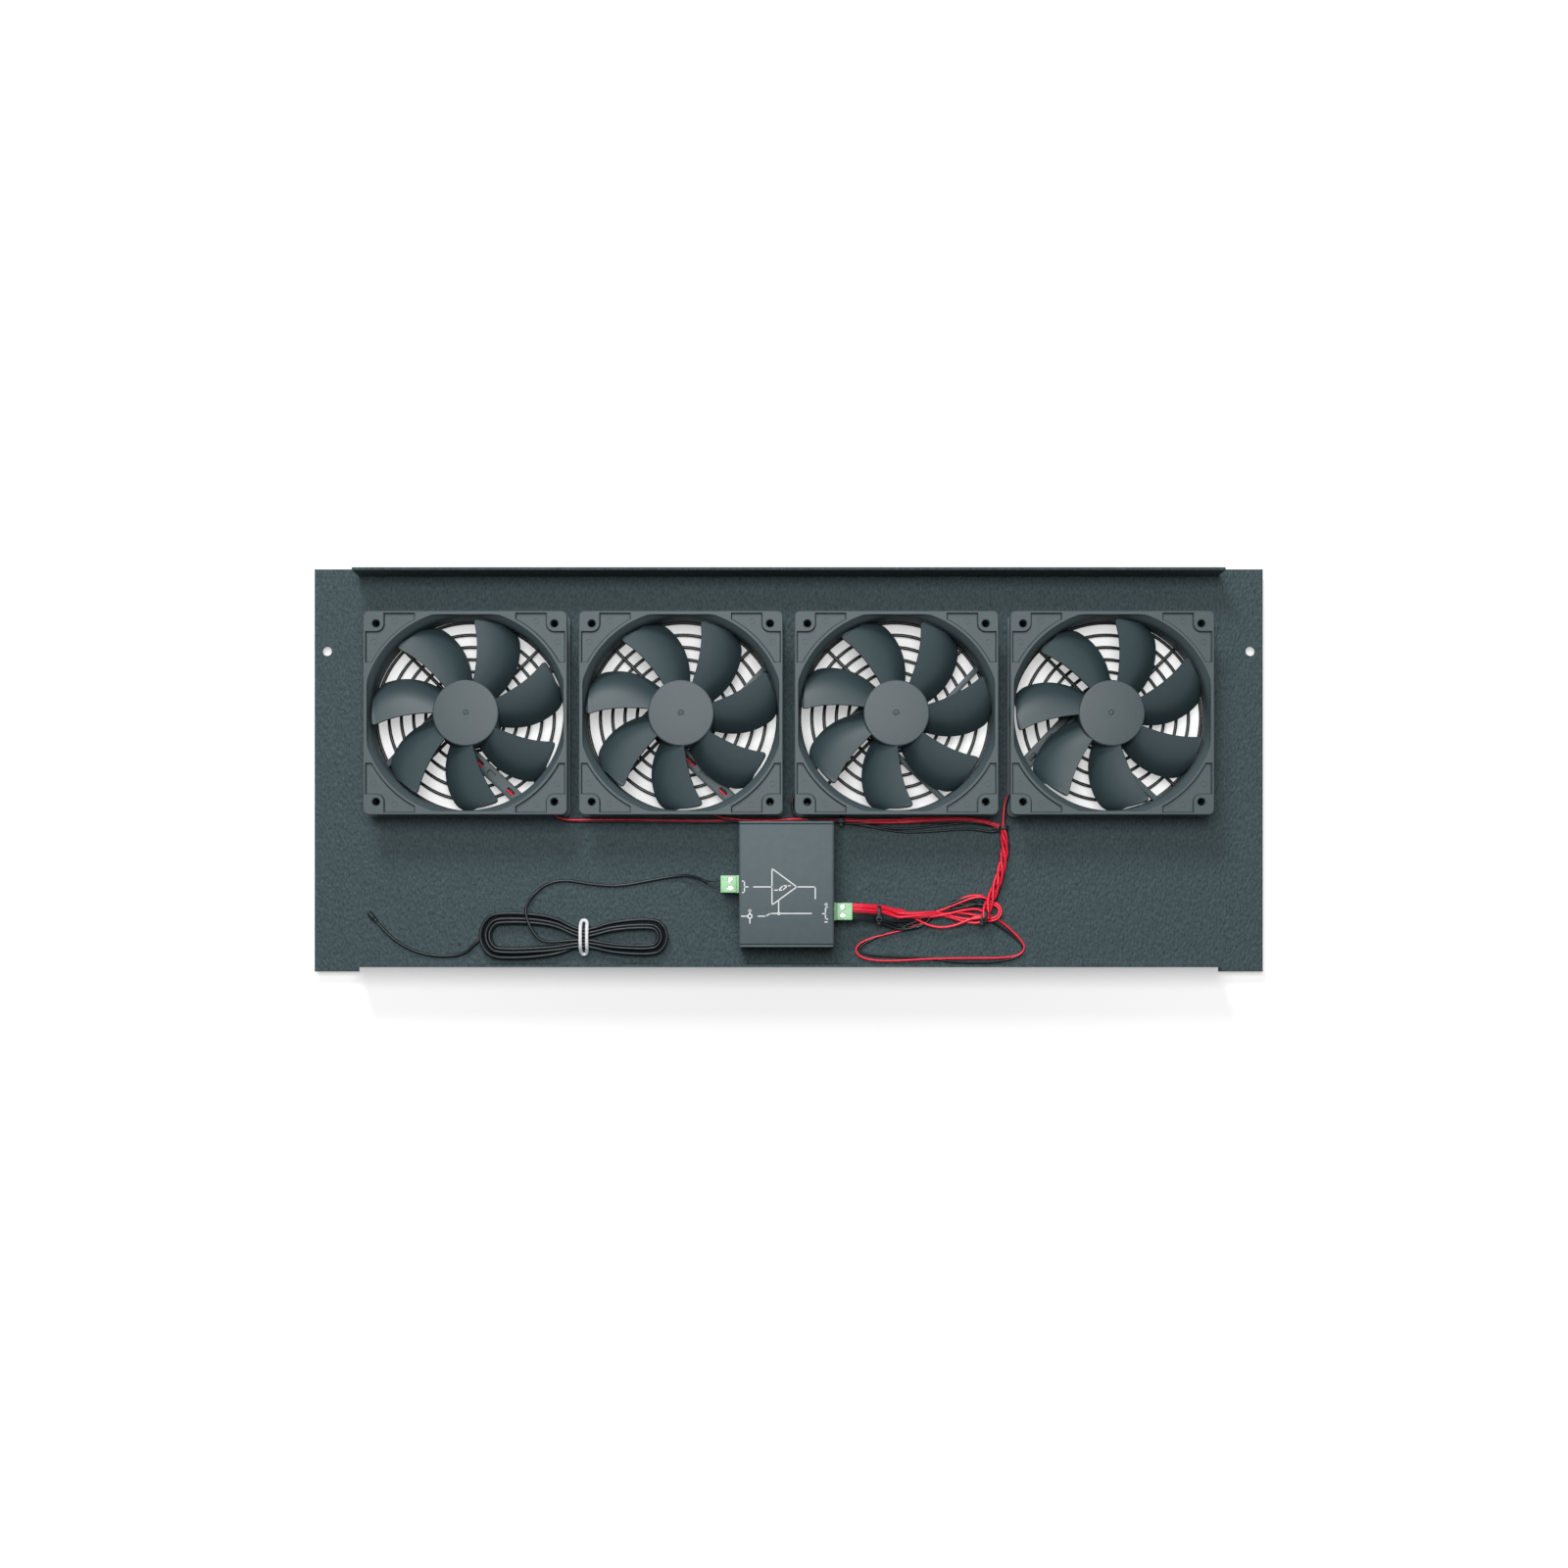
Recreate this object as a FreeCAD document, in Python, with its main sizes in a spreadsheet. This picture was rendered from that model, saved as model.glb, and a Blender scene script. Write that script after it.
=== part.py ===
import FreeCAD, Part
import math
import os
import re

import Sketcher

# Rack fan tray: four 120 mm fans on a flanged steel panel, with wire finger guards
# underneath, a thermostat control box, its wiring and a coiled thermistor cord.
#
# X runs along the row of fans, Y across the panel, Z up through the fans. The origin is the
# middle of the panel at the level of the guard screws' heads. All sizes are in millimetres.

os.makedirs("parts", exist_ok=True)

Vector = FreeCAD.Vector

# Driving dimensions. Each one is a cell of the "sizes" sheet.
SIZES = {
    # sheet-steel panel
    "panel_width": 568,
    "back_margin": 28.5,
    "front_margin": 14.4,
    "sheet_thickness": 1.5,
    "flange_height": 25,
    "ear_width": 26.5,
    "flange_inset": 2.6,
    "bend_radius": 1.5,
    "ear_hole_inset": 7.5,
    "ear_hole_radius": 2.8,
    "ear_hole_setback": 49.1,
    "opening_clearance": 2.3,
    # fans
    "fan_size": 120,
    "fan_thickness": 25,
    "fan_gap": 7,
    "fan_hole_inset": 7.5,
    "fan_hole_radius": 2.2,
    "fan_corner_chamfer": 2.4,
    "fan_rim": 2,
    "flange_plate": 4,
    "throat_margin": 2.8,
    "mouth_flare": 3.8,
    "mouth_depth": 6,
    "venturi_wall": 1.8,
    "corner_column": 9,
    # stationary half of the motor
    "motor_base_radius": 19.5,
    "motor_base_thickness": 2,
    "strut_width": 3.5,
    "strut_height": 4,
    "strut_offset": 16,
    "strut_angle": 46.6,
    "bearing_radius": 4,
    "bearing_length": 16.5,
    "stator_radius": 14.2,
    "stator_height": 11,
    "stator_base": 7,
    "pole_width": 9.5,
    "winding_thickness": 2,
    "fit_gap": 0.05,
    # rotor
    "shaft_radius": 1.5,
    "running_gap": 0.03,
    "hub_radius": 19.15,
    "hub_wall": 1.2,
    "hub_top": 1.6,
    "hub_drop": 1.2,
    "hub_bottom": 4.9,
    "magnet_thickness": 2,
    "magnet_base": 6.5,
    "tip_gap": 1.1,
    "blade_thickness": 1.3,
    "blade_top": 22.2,
    "blade_bottom": 5.6,
    # wire finger guards
    "ring_wire": 1.65,
    "radial_wire": 1.8,
    "guard_ring_inset": 0.2,
    "ring_pitch": 7.36,
    "eyelet_radius": 4.2,
    "eyelet_hole": 2.5,
    "guard_screw_head_radius": 4.4,
    "guard_screw_head_height": 2.9,
    "guard_screw_radius": 2,
    "guard_screw_reach": 6.5,
    # control box
    "box_width": 56,
    "box_depth": 74,
    "box_height": 28,
    "box_across": -1.3,
    "box_gap": 4.1,
    "box_wall": 1.5,
    "box_edge_radius": 3,
    "end_plate_thickness": 1.5,
    "rail_height": 3.2,
    "rail_width": 2.5,
    "board_thickness": 1.6,
    "board_margin": 0.5,
    "header_width": 10.6,
    "header_depth": 12,
    "header_height": 8.6,
    "header_wall": 0.9,
    "header_stand_out": 1.7,
    "plug_width": 10.2,
    "plug_depth": 9.4,
    "plug_height": 9,
    "plug_gap": 0.15,
    "thermistor_terminal_inset": 37.5,
    "fan_terminal_inset": 21.3,
    "terminal_pitch": 5.08,
    "clamp_screw_radius": 1.5,
    "clamp_screw_length": 2,
    "jack_inset": 19.6,
    "jack_width": 9,
    "jack_depth": 12,
    "jack_height": 11,
    "jack_bore_radius": 3.1,
    "jack_bore_depth": 9,
    "jack_pin_radius": 1,
    "capacitor_radius": 4,
    "capacitor_height": 11,
    "mounting_pad_margin": 4,
    "mounting_pad_thickness": 1,
    # wiring
    "lead_radius": 1.3,
    "upper_trunk_radius": 2,
    "lower_trunk_radius": 2.3,
    "braid_radius": 3.3,
    "cord_radius": 0.95,
    "bead_radius": 1.6,
    "bead_length": 5,
    "hank_height": 5.6,
    "hank_tie_width": 5,
    "hank_tie_thickness": 1,
}
FAN_COUNT = 4
FANS = range(1, FAN_COUNT + 1)
REST_ANGLES = (85.2, 78.1, 75.1, 88.4)  # degrees, where each wheel has stopped
BLADES = 7
RING_SIDES = (14, 14, 12, 12, 10, 8, 6)  # facets of the guard rings, outside first
HOLE_SIDES = 8  # facets of screw holes
SCREW_SIDES = 6  # facets of screws
EYELET_SIDES = 6  # facets of the wire loops at the guard's corners
DUCT_SIDES = 36  # facets of the fan duct and of the circle that the blade tips turn in
SHAFT_SIDES = 12  # facets of the shaft and of its bearing
HUB_SIDES = 20  # facets of the hub and of the motor parts inside it

# Places along the panel's depth that follow from what lies one before the other
PANEL_DEPTH = "(back_margin + fan_size + box_gap + box_depth + front_margin)"
FAN_EDGE = f"({PANEL_DEPTH} / 2 - back_margin - fan_size)"
FAN_ROW = f"({PANEL_DEPTH} / 2 - back_margin - fan_size / 2)"
BOX_FRONT = f"(front_margin - {PANEL_DEPTH} / 2)"
BOX_ALONG = f"({BOX_FRONT} + box_depth / 2)"
FLANGE_FRONT = f"(flange_inset + sheet_thickness - {PANEL_DEPTH} / 2)"
THERMISTOR_ROW = f"({BOX_FRONT} + thermistor_terminal_inset)"
FAN_TERMINAL_ROW = f"({BOX_FRONT} + fan_terminal_inset)"
JACK_ROW = f"({BOX_FRONT} + jack_inset)"

# Sizes that follow from others
FLANGE_LENGTH = "(panel_width - 2 * ear_width)"
FAN_PITCH = "(fan_size + fan_gap)"
HOLE_SPACING = "(fan_size - 2 * fan_hole_inset)"
THROAT = "(fan_size / 2 - throat_margin)"

# Levels that follow from the stack of parts
PANEL_FACE = "(guard_screw_head_height + radial_wire)"
PANEL_TOP = "(guard_screw_head_height + radial_wire + sheet_thickness)"
BOX_BASE = "(guard_screw_head_height + radial_wire + sheet_thickness + mounting_pad_thickness)"
BOARD_TOP = f"({BOX_BASE} + box_wall + rail_height + board_thickness)"
BOX_LEFT = "(box_across - box_width / 2)"
BOX_RIGHT = "(box_across + box_width / 2)"

doc = FreeCAD.newDocument("rack_fan_tray")
sheet = doc.addObject("Spreadsheet::Sheet", "sizes")
for row, (alias, number) in enumerate(SIZES.items(), start=1):
    sheet.set(f"A{row}", alias)
    sheet.set(f"B{row}", str(number))
    sheet.setAlias(f"B{row}", alias)
doc.recompute()

nodes = []


# ---------------------------------------------------------------- helpers


def size(formula):
    """Value of a formula of the sheet's sizes."""
    return float(sheet.evalExpression(formula))


def bound(formula):
    """The formula with each size referred to in the sheet, for setExpression."""
    return re.sub(r"[a-z]+_[a-z_]+", lambda word: "sizes." + word.group(0), formula)


def bind(item, **formulas):
    """Bind properties of a document object to formulas."""
    for name, formula in formulas.items():
        item.setExpression(name, bound(formula))


def place(item, x="0", y="0", z="0"):
    """Bind an object's position to formulas."""
    for axis, formula in (("x", x), ("y", y), ("z", z)):
        item.setExpression(f".Placement.Base.{axis}", bound(formula))


def block(name, length, width, height, x="0", y="0", z="0"):
    """Box that stands on z with its middle at x, y."""
    item = doc.addObject("Part::Box", name)
    bind(item, Length=length, Width=width, Height=height)
    place(item, f"({x}) - ({length}) / 2", f"({y}) - ({width}) / 2", z)
    return item


def prism(name, sides, radius, height, x="0", y="0", z="0", turn=None):
    """Regular prism that starts at x, y, z and runs up, or along what turn makes of up."""
    item = doc.addObject("Part::Prism", name)
    item.Polygon = sides
    bind(item, Circumradius=radius, Height=height)
    if turn:
        item.Placement = FreeCAD.Placement(Vector(), turn)
    place(item, x, y, z)
    return item


def cut(name, base, *tools):
    """Base less each of the tools."""
    for number, tool in enumerate(tools, start=1):
        item = doc.addObject("Part::Cut", f"{name}_cut_{number}")
        item.Base = base
        item.Tool = tool
        base = item
    return base


def fuse(name, *pieces):
    """The pieces joined in one solid."""
    item = doc.addObject("Part::MultiFuse", f"{name}_join")
    item.Shapes = list(pieces)
    item.Refine = True
    return item


def group(name, pieces):
    """Separate solids of one kind that share a node."""
    item = doc.addObject("Part::Compound", f"{name}_group")
    item.Links = list(pieces)
    return item


def node(item, label):
    """Name a finished sub-part."""
    item.Label = label
    nodes.append(item)
    return item


def shaped(label, shape):
    """Sub-part whose shape is made by functions."""
    item = doc.addObject("Part::Feature", label)
    item.Shape = shape
    return node(item, label)


def origin_of(body, role):
    """Plane or axis of a body's origin."""
    return next(f for f in body.Origin.OriginFeatures if f.Role == role)


def sketch_on(body, name, plane, level="0"):
    """Empty sketch parallel to one of the body's planes, level above it."""
    item = body.newObject("Sketcher::SketchObject", name)
    item.AttachmentSupport = (origin_of(body, plane), [""])
    item.MapMode = "FlatFace"
    item.setExpression(".AttachmentOffset.Base.z", bound(level))
    return item


def pin(sketch, kind, formula, *where):
    """Constraint whose datum is a formula."""
    number = sketch.addConstraint(Sketcher.Constraint(kind, *where, size(formula)))
    sketch.setExpression(f"Constraints[{number}]", bound(formula))


def outline(sketch, *corners):
    """Closed outline of straight edges; a corner is a pair of formulas."""
    first = sketch.GeometryCount
    points = [Vector(size(x), size(y), 0) for x, y in corners]
    count = len(points)
    for number in range(count):
        sketch.addGeometry(Part.LineSegment(points[number], points[(number + 1) % count]))
    for number in range(count):
        following = first + (number + 1) % count
        sketch.addConstraint(Sketcher.Constraint("Coincident", first + number, 2, following, 1))
    for number, (x, y) in enumerate(corners):
        pin(sketch, "DistanceX", x, first + number, 1)
        pin(sketch, "DistanceY", y, first + number, 1)


def rectangle(sketch, width, depth, x="0", y="0"):
    """Rectangle about x, y."""
    left, right = f"({x}) - ({width}) / 2", f"({x}) + ({width}) / 2"
    low, high = f"({y}) - ({depth}) / 2", f"({y}) + ({depth}) / 2"
    outline(sketch, (left, low), (right, low), (right, high), (left, high))


def circle(sketch, radius, x="0", y="0"):
    """Circle about x, y."""
    number = sketch.GeometryCount
    sketch.addGeometry(Part.Circle(Vector(size(x), size(y), 0), Vector(0, 0, 1), size(radius)))
    pin(sketch, "DistanceX", x, number, 3)
    pin(sketch, "DistanceY", y, number, 3)
    pin(sketch, "Radius", radius, number)


def polygon(sketch, sides, radius, x="0", y="0"):
    """Regular polygon about x, y with a corner towards +X."""
    corners = []
    for number in range(sides):
        angle = number * 2 * math.pi / sides
        across, along = math.cos(angle), math.sin(angle)
        corners.append((f"({x}) + {across:.9f} * ({radius})", f"({y}) + {along:.9f} * ({radius})"))
    outline(sketch, *corners)


def pad(body, sketch, length, midplane=False):
    """Pad a sketch by a formula."""
    item = body.newObject("PartDesign::Pad", f"{sketch.Name}_pad")
    item.Profile = sketch
    item.Midplane = midplane
    bind(item, Length=length)
    sketch.Visibility = False
    return item


def pocket(body, sketch, length=None, downward=True):
    """Cut a sketch into the body, right through if no length is given."""
    item = body.newObject("PartDesign::Pocket", f"{sketch.Name}_pocket")
    item.Profile = sketch
    if length is None:
        item.Type = "ThroughAll"
        item.Midplane = True
    else:
        item.Reversed = not downward
        bind(item, Length=length)
    return item


def removes(body, feature, what):
    """Check that a cutting feature takes material away."""
    doc.recompute()
    before = feature.BaseFeature.Shape.Volume
    if feature.Shape.Volume > before - 1e-3:
        raise RuntimeError(f"{body.Name}: {what} cuts nothing")
    body.Tip = feature
    return feature


def around(body, feature, count, what):
    """Repeat a feature round the body's Z axis."""
    item = body.newObject("PartDesign::PolarPattern", f"{feature.Name}_ring")
    item.Originals = [feature]
    item.Axis = (origin_of(body, "Z_Axis"), [""])
    item.Angle = 360
    item.Occurrences = count
    body.Tip = item
    doc.recompute()
    if abs(item.Shape.Volume - feature.Shape.Volume) < 1e-3:
        raise RuntimeError(f"{body.Name}: {what} is not repeated")
    return item


def round_edges(body, feature, radius, wanted):
    """Fillet the edges of a feature that a test picks."""
    doc.recompute()
    names = [
        f"Edge{number}" for number, edge in enumerate(feature.Shape.Edges, start=1) if wanted(edge)
    ]
    item = body.newObject("PartDesign::Fillet", f"{feature.Name}_fillet")
    item.Base = (feature, names)
    bind(item, Radius=radius)
    body.Tip = item
    return item


def chamfer_edges(body, feature, width, wanted):
    """Chamfer the edges of a feature that a test picks."""
    doc.recompute()
    names = [
        f"Edge{number}" for number, edge in enumerate(feature.Shape.Edges, start=1) if wanted(edge)
    ]
    item = body.newObject("PartDesign::Chamfer", f"{feature.Name}_chamfer")
    item.Base = (feature, names)
    bind(item, Size=width)
    body.Tip = item
    return item


def lies_along(edge, axis):
    """Whether a straight edge runs along an axis."""
    if not isinstance(edge.Curve, Part.Line):
        return False
    return abs(abs(edge.Curve.Direction.dot(axis)) - 1) < 1e-6


# ---------------------------------------------------------------- panel


def tray_panel():
    """Steel panel with two bent flanges, ears at both ends and all its holes."""
    body = doc.addObject("PartDesign::Body", "tray_panel_body")
    outer = f"({PANEL_DEPTH} / 2 - flange_inset)"
    inner = f"({outer} - sheet_thickness)"
    channel = sketch_on(body, "channel_section", "YZ_Plane")
    top = f"({PANEL_FACE} + flange_height)"
    outline(
        channel,
        (f"-{outer}", PANEL_FACE),
        (outer, PANEL_FACE),
        (outer, top),
        (inner, top),
        (inner, PANEL_TOP),
        (f"-{inner}", PANEL_TOP),
        (f"-{inner}", top),
        (f"-{outer}", top),
    )
    bent = pad(body, channel, FLANGE_LENGTH, midplane=True)
    along = Vector(1, 0, 0)
    inside = round_edges(
        body,
        bent,
        "bend_radius",
        lambda e: lies_along(e, along) and abs(e.Vertexes[0].Z - size(PANEL_TOP)) < 1e-6,
    )
    bends = round_edges(
        body,
        inside,
        "bend_radius + sheet_thickness",
        lambda e: lies_along(e, along) and abs(e.Vertexes[0].Z - size(PANEL_FACE)) < 1e-6,
    )
    doc.recompute()
    ears = sketch_on(body, "ears", "XY_Plane", PANEL_FACE)
    for side in ("-", ""):
        rectangle(ears, "ear_width", PANEL_DEPTH, f"{side}(panel_width - ear_width) / 2")
    pad(body, ears, "sheet_thickness")
    holes = sketch_on(body, "ear_holes", "XY_Plane", PANEL_FACE)
    row = f"{PANEL_DEPTH} / 2 - ear_hole_setback"
    for side in ("-", ""):
        circle(holes, "ear_hole_radius", f"{side}(panel_width / 2 - ear_hole_inset)", row)
    removes(body, pocket(body, holes), "the ear holes")
    opening = sketch_on(body, "fan_opening", "XY_Plane", PANEL_FACE)
    first_fan = fan_across(1)
    polygon(opening, DUCT_SIDES, f"{THROAT} + opening_clearance", first_fan, FAN_ROW)
    for across in ("-", "+"):
        for along_row in ("-", "+"):
            polygon(
                opening,
                HOLE_SIDES,
                "fan_hole_radius",
                f"{first_fan} {across} {HOLE_SPACING} / 2",
                f"{FAN_ROW} {along_row} {HOLE_SPACING} / 2",
            )
    first = removes(body, pocket(body, opening), "the fan opening")
    row_of_fans = body.newObject("PartDesign::LinearPattern", "fan_openings")
    row_of_fans.Originals = [first]
    row_of_fans.Direction = (origin_of(body, "X_Axis"), [""])
    row_of_fans.Mode = "Spacing"
    row_of_fans.Occurrences = len(FANS)
    bind(row_of_fans, Offset=FAN_PITCH)
    body.Tip = row_of_fans
    return node(body, "tray_panel")


def fan_across(number):
    """Formula of a fan's place along the row."""
    return f"({number} - {(FAN_COUNT + 1) / 2}) * {FAN_PITCH}"


# ---------------------------------------------------------------- fans


def duct_shape():
    """Air duct of a fan: straight throat, then a mouth that flares to the rim's flats."""
    throat = size(THROAT)
    mouth = throat + size("mouth_flare")
    height, depth = size("fan_thickness"), size("mouth_depth")
    wires = []
    for radius, level in ((throat, -1), (throat, height - depth), (mouth, height)):
        rays = [(number + 0.5) * 2 * math.pi / DUCT_SIDES for number in range(DUCT_SIDES)]
        corners = [Vector(radius * math.cos(ray), radius * math.sin(ray), level) for ray in rays]
        wires.append(Part.makePolygon(corners + corners[:1]))
    straight = Part.Face(wires[0]).extrude(Vector(0, 0, height - depth + 1))
    flare = Part.makeLoft(wires[1:], True, True)
    clear = size("fan_size - 2 * fan_rim")
    flats = Part.makeBox(clear, clear, height + 2, Vector(-clear / 2, -clear / 2, -1))
    return straight.fuse(flare).common(flats)


def fan_frame(number, duct):
    """Moulded frame: square flanges joined by the venturi, with struts to the motor base."""
    body = doc.addObject("PartDesign::Body", f"fan_frame_{number}_body")
    half = "fan_size / 2"
    square = sketch_on(body, f"frame_square_{number}", "XY_Plane")
    rectangle(square, "fan_size", "fan_size")
    slab = pad(body, square, "fan_thickness")
    up = Vector(0, 0, 1)
    chamfer_edges(body, slab, "fan_corner_chamfer", lambda e: lies_along(e, up))
    doc.recompute()
    waist = sketch_on(body, f"waist_{number}", "XY_Plane", "flange_plate")
    diagonal = f"({THROAT} + venturi_wall) * sqrt(2)"
    outline(
        waist,
        (f"{half} + 1", f"{diagonal} - {half} - 1"),
        (f"{half} + 1", f"{half} + 1"),
        (f"{diagonal} - {half} - 1", f"{half} + 1"),
    )
    out = f"{HOLE_SPACING} / 2"
    rectangle(waist, "corner_column", "corner_column", out, out)
    corner = pocket(body, waist, "fan_thickness - 2 * flange_plate", downward=False)
    removes(body, corner, "the waist")
    around(body, corner, 4, "the waist")
    hole = sketch_on(body, f"screw_hole_{number}", "XY_Plane")
    polygon(hole, HOLE_SIDES, "fan_hole_radius", out, out)
    drilled = removes(body, pocket(body, hole), "the screw hole")
    around(body, drilled, 4, "the screw hole")
    air = doc.addObject("Part::Feature", f"duct_{number}")
    air.Shape = duct
    bored = cut(f"frame_{number}", body, air)
    mount = doc.addObject("PartDesign::Body", f"motor_mount_{number}")
    base = sketch_on(mount, f"motor_base_{number}", "XY_Plane")
    polygon(base, HUB_SIDES, "motor_base_radius")
    pad(mount, base, "motor_base_thickness")
    strut = sketch_on(mount, f"strut_{number}", "XY_Plane")
    strut.setExpression(".AttachmentOffset.Rotation.Angle", bound("strut_angle"))
    near, far = "motor_base_radius / 3", f"{THROAT} + 0.3"
    outer, inner = "-strut_offset - strut_width / 2", "-strut_offset + strut_width / 2"
    outline(strut, (near, outer), (far, outer), (far, inner), (near, inner))
    arm = pad(mount, strut, "strut_height")
    doc.recompute()
    around(mount, arm, 4, "the strut")
    frame = fuse(f"frame_{number}", bored, mount)
    place(frame, fan_across(number), FAN_ROW, PANEL_TOP)
    return node(frame, f"fan_frame_{number}")


def blade_section(radius, leading, trailing, top, bottom):
    """Points round a cambered strip across a blade at a radius: upper side, then lower."""
    chord = Vector(0, leading - trailing, top - bottom)
    across = Vector(0, -chord.z, chord.y)
    across.normalize()
    camber = 0.09 * chord.Length
    upper = []
    for share in (0, 0.5, 1):
        bulge = 4 * camber * share * (1 - share)
        upper.append(Vector(radius, trailing, bottom) + chord * share + across * bulge)
    lower = [point - across * size("blade_thickness") for point in upper]
    return upper + lower[::-1]


def faceted(sections):
    """Solid through sections of as many points each, with flat facets between them."""
    faces = []
    for here, there in zip(sections, sections[1:]):
        for number in range(len(here)):
            following = (number + 1) % len(here)
            a, b, c, d = here[number], here[following], there[following], there[number]
            faces.append(Part.Face(Part.makePolygon([a, b, c, a])))
            faces.append(Part.Face(Part.makePolygon([a, c, d, a])))
    for points in (sections[0], sections[-1]):
        faces.append(Part.Face(Part.makePolygon(points + points[:1])))
    solid = Part.Solid(Part.Shell(faces))
    return solid if solid.Volume > 0 else solid.reversed()


def regular(sides, radius, height, level):
    """Prism about the axis, with a side towards +X."""
    rays = [(number + 0.5) * 2 * math.pi / sides for number in range(sides)]
    corners = [Vector(radius * math.cos(ray), radius * math.sin(ray), level) for ray in rays]
    return Part.Face(Part.makePolygon(corners + corners[:1])).extrude(Vector(0, 0, height))


def impeller_shape():
    """Cup-shaped hub with twisted blades, about the axis from the bottom of the fan."""
    hub_top = size("fan_thickness - hub_drop")
    hub = size("hub_radius")
    wall = size("hub_wall")
    roof = hub_top - size("hub_top")
    bottom = size("hub_bottom")
    cup = regular(HUB_SIDES, hub, hub_top - bottom, bottom)
    cup = cup.cut(regular(HUB_SIDES, hub - wall, roof - bottom, bottom))
    top, low = size("blade_top"), size("blade_bottom")
    tip = size(f"{THROAT} - tip_gap")
    # radius, leading edge, trailing edge and the heights of both
    stations = (
        (hub - wall * 0.8, 3.6, -9.9, top, low + 2.5),
        (0.45 * tip + 4, 6.6, -13.4, top, low + 0.6),
        (0.68 * tip, 10.2, -13.6, top, low),
        (tip + 2.5, 20.6, -5.4, top, low + 2.2),
    )
    blade = faceted([blade_section(*station) for station in stations])
    blade = blade.common(regular(DUCT_SIDES, tip, 2 * size("fan_thickness"), 0))
    lead = math.degrees(math.atan2(stations[-1][1], tip))
    blades = []
    for number in range(BLADES):
        copy = blade.copy()
        copy.rotate(Vector(), Vector(0, 0, 1), number * 360 / BLADES - lead)
        blades.append(copy)
    return cup.fuse(blades).removeSplitter()


def impeller(number, shape):
    """Fan wheel, turned to where it has stopped."""
    item = shaped(f"fan_impeller_{number}", shape)
    turn = FreeCAD.Rotation(Vector(0, 0, 1), REST_ANGLES[number - 1])
    item.Placement = FreeCAD.Placement(Vector(), turn)
    place(item, fan_across(number), FAN_ROW, PANEL_TOP)


def rotor_parts(number):
    """Magnet ring inside the hub and the shaft that the hub turns on."""
    x = fan_across(number)
    inside = "hub_radius - hub_wall - 8 * fit_gap"
    level = f"{PANEL_TOP} + magnet_base"
    length = "fan_thickness - hub_drop - hub_top - magnet_base"
    ring = prism(f"magnet_outside_{number}", HUB_SIDES, inside, length, x, FAN_ROW, level)
    hollow = prism(
        f"magnet_inside_{number}", HUB_SIDES, f"{inside} - magnet_thickness", length, x, FAN_ROW, level
    )
    node(cut(f"magnet_{number}", ring, hollow), f"rotor_magnet_{number}")
    start = "(motor_base_thickness + 0.3)"
    reach = f"fan_thickness - hub_drop - hub_top - {start}"
    shaft = prism(
        f"shaft_{number}", SHAFT_SIDES, "shaft_radius", reach, x, FAN_ROW, f"{PANEL_TOP} + {start}"
    )
    node(shaft, f"rotor_shaft_{number}")


def motor_parts():
    """Bearing sleeves, stator cores, windings and circuit boards of all four motors."""
    sleeves, cores, windings, boards = [], [], [], []
    arm = "stator_radius - bearing_radius - fit_gap"
    coil = "pole_width + 2 * fit_gap"
    coil_out = f"({coil} + 2 * winding_thickness)"
    depth = "stator_radius / 3"
    for number in FANS:
        x = fan_across(number)
        seat = f"{PANEL_TOP} + motor_base_thickness"
        level = f"{PANEL_TOP} + stator_base"
        sleeve = prism(
            f"sleeve_{number}", SHAFT_SIDES, "bearing_radius", "bearing_length", x, FAN_ROW, seat
        )
        bore_size = "shaft_radius + running_gap"
        bore = prism(
            f"bore_{number}", SHAFT_SIDES, bore_size, "bearing_length", x, FAN_ROW, seat
        )
        sleeves.append(cut(f"bearing_{number}", sleeve, bore))
        at = (x, FAN_ROW, level)
        bars = [
            block(f"poles_x_{number}", "2 * stator_radius", "pole_width", "stator_height", *at),
            block(f"poles_y_{number}", "pole_width", "2 * stator_radius", "stator_height", *at),
        ]
        hole = "bearing_radius + fit_gap"
        eye = prism(f"stator_eye_{number}", SHAFT_SIDES, hole, "stator_height", *at)
        cores.append(cut(f"core_{number}", fuse(f"core_{number}", *bars), eye))
        out = "(stator_radius - stator_radius / 6 - 1)"
        high, low = "stator_height + 2 * winding_thickness", "stator_height + 2 * fit_gap"
        for side, (along, across) in enumerate(((1, 0), (0, 1), (-1, 0), (0, -1))):
            at = (f"{x} + {along} * {out}", f"{FAN_ROW} + {across} * {out}")
            wide = (depth, coil_out) if along else (coil_out, depth)
            slim = (depth, coil) if along else (coil, depth)
            name = f"{number}_{side}"
            outside = block(f"coil_{name}", *wide, high, *at, f"{level} - winding_thickness")
            inside = block(f"coil_eye_{name}", *slim, low, *at, f"{level} - fit_gap")
            windings.append(cut(f"winding_{name}", outside, inside))
        boards.append(
            block(
                f"motor_board_{number}",
                "stator_radius",
                "stator_radius / 2 - 1",
                "1",
                x,
                f"{FAN_ROW} + bearing_radius + stator_radius / 4",
                f"{seat} + 0.3",
            )
        )
    node(group("bearing_sleeves", sleeves), "bearing_sleeves")
    node(group("stator_cores", cores), "stator_cores")
    node(group("stator_windings", windings), "stator_windings")
    node(group("motor_boards", boards), "motor_boards")


# ---------------------------------------------------------------- finger guards


def ring_shape(radius, sides, width, height, level):
    """Faceted ring whose wire is width wide about a radius."""
    outer, inner = [], []
    for number in range(sides + 1):
        angle = (number + 0.5) * 2 * math.pi / sides
        ray = Vector(math.cos(angle), math.sin(angle), 0)
        outer.append(ray * (radius + width / 2) + Vector(0, 0, level))
        inner.append(ray * (radius - width / 2) + Vector(0, 0, level))
    face = Part.Face([Part.makePolygon(outer), Part.makePolygon(inner)])
    face.validate()
    return face.extrude(Vector(0, 0, height))


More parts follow.
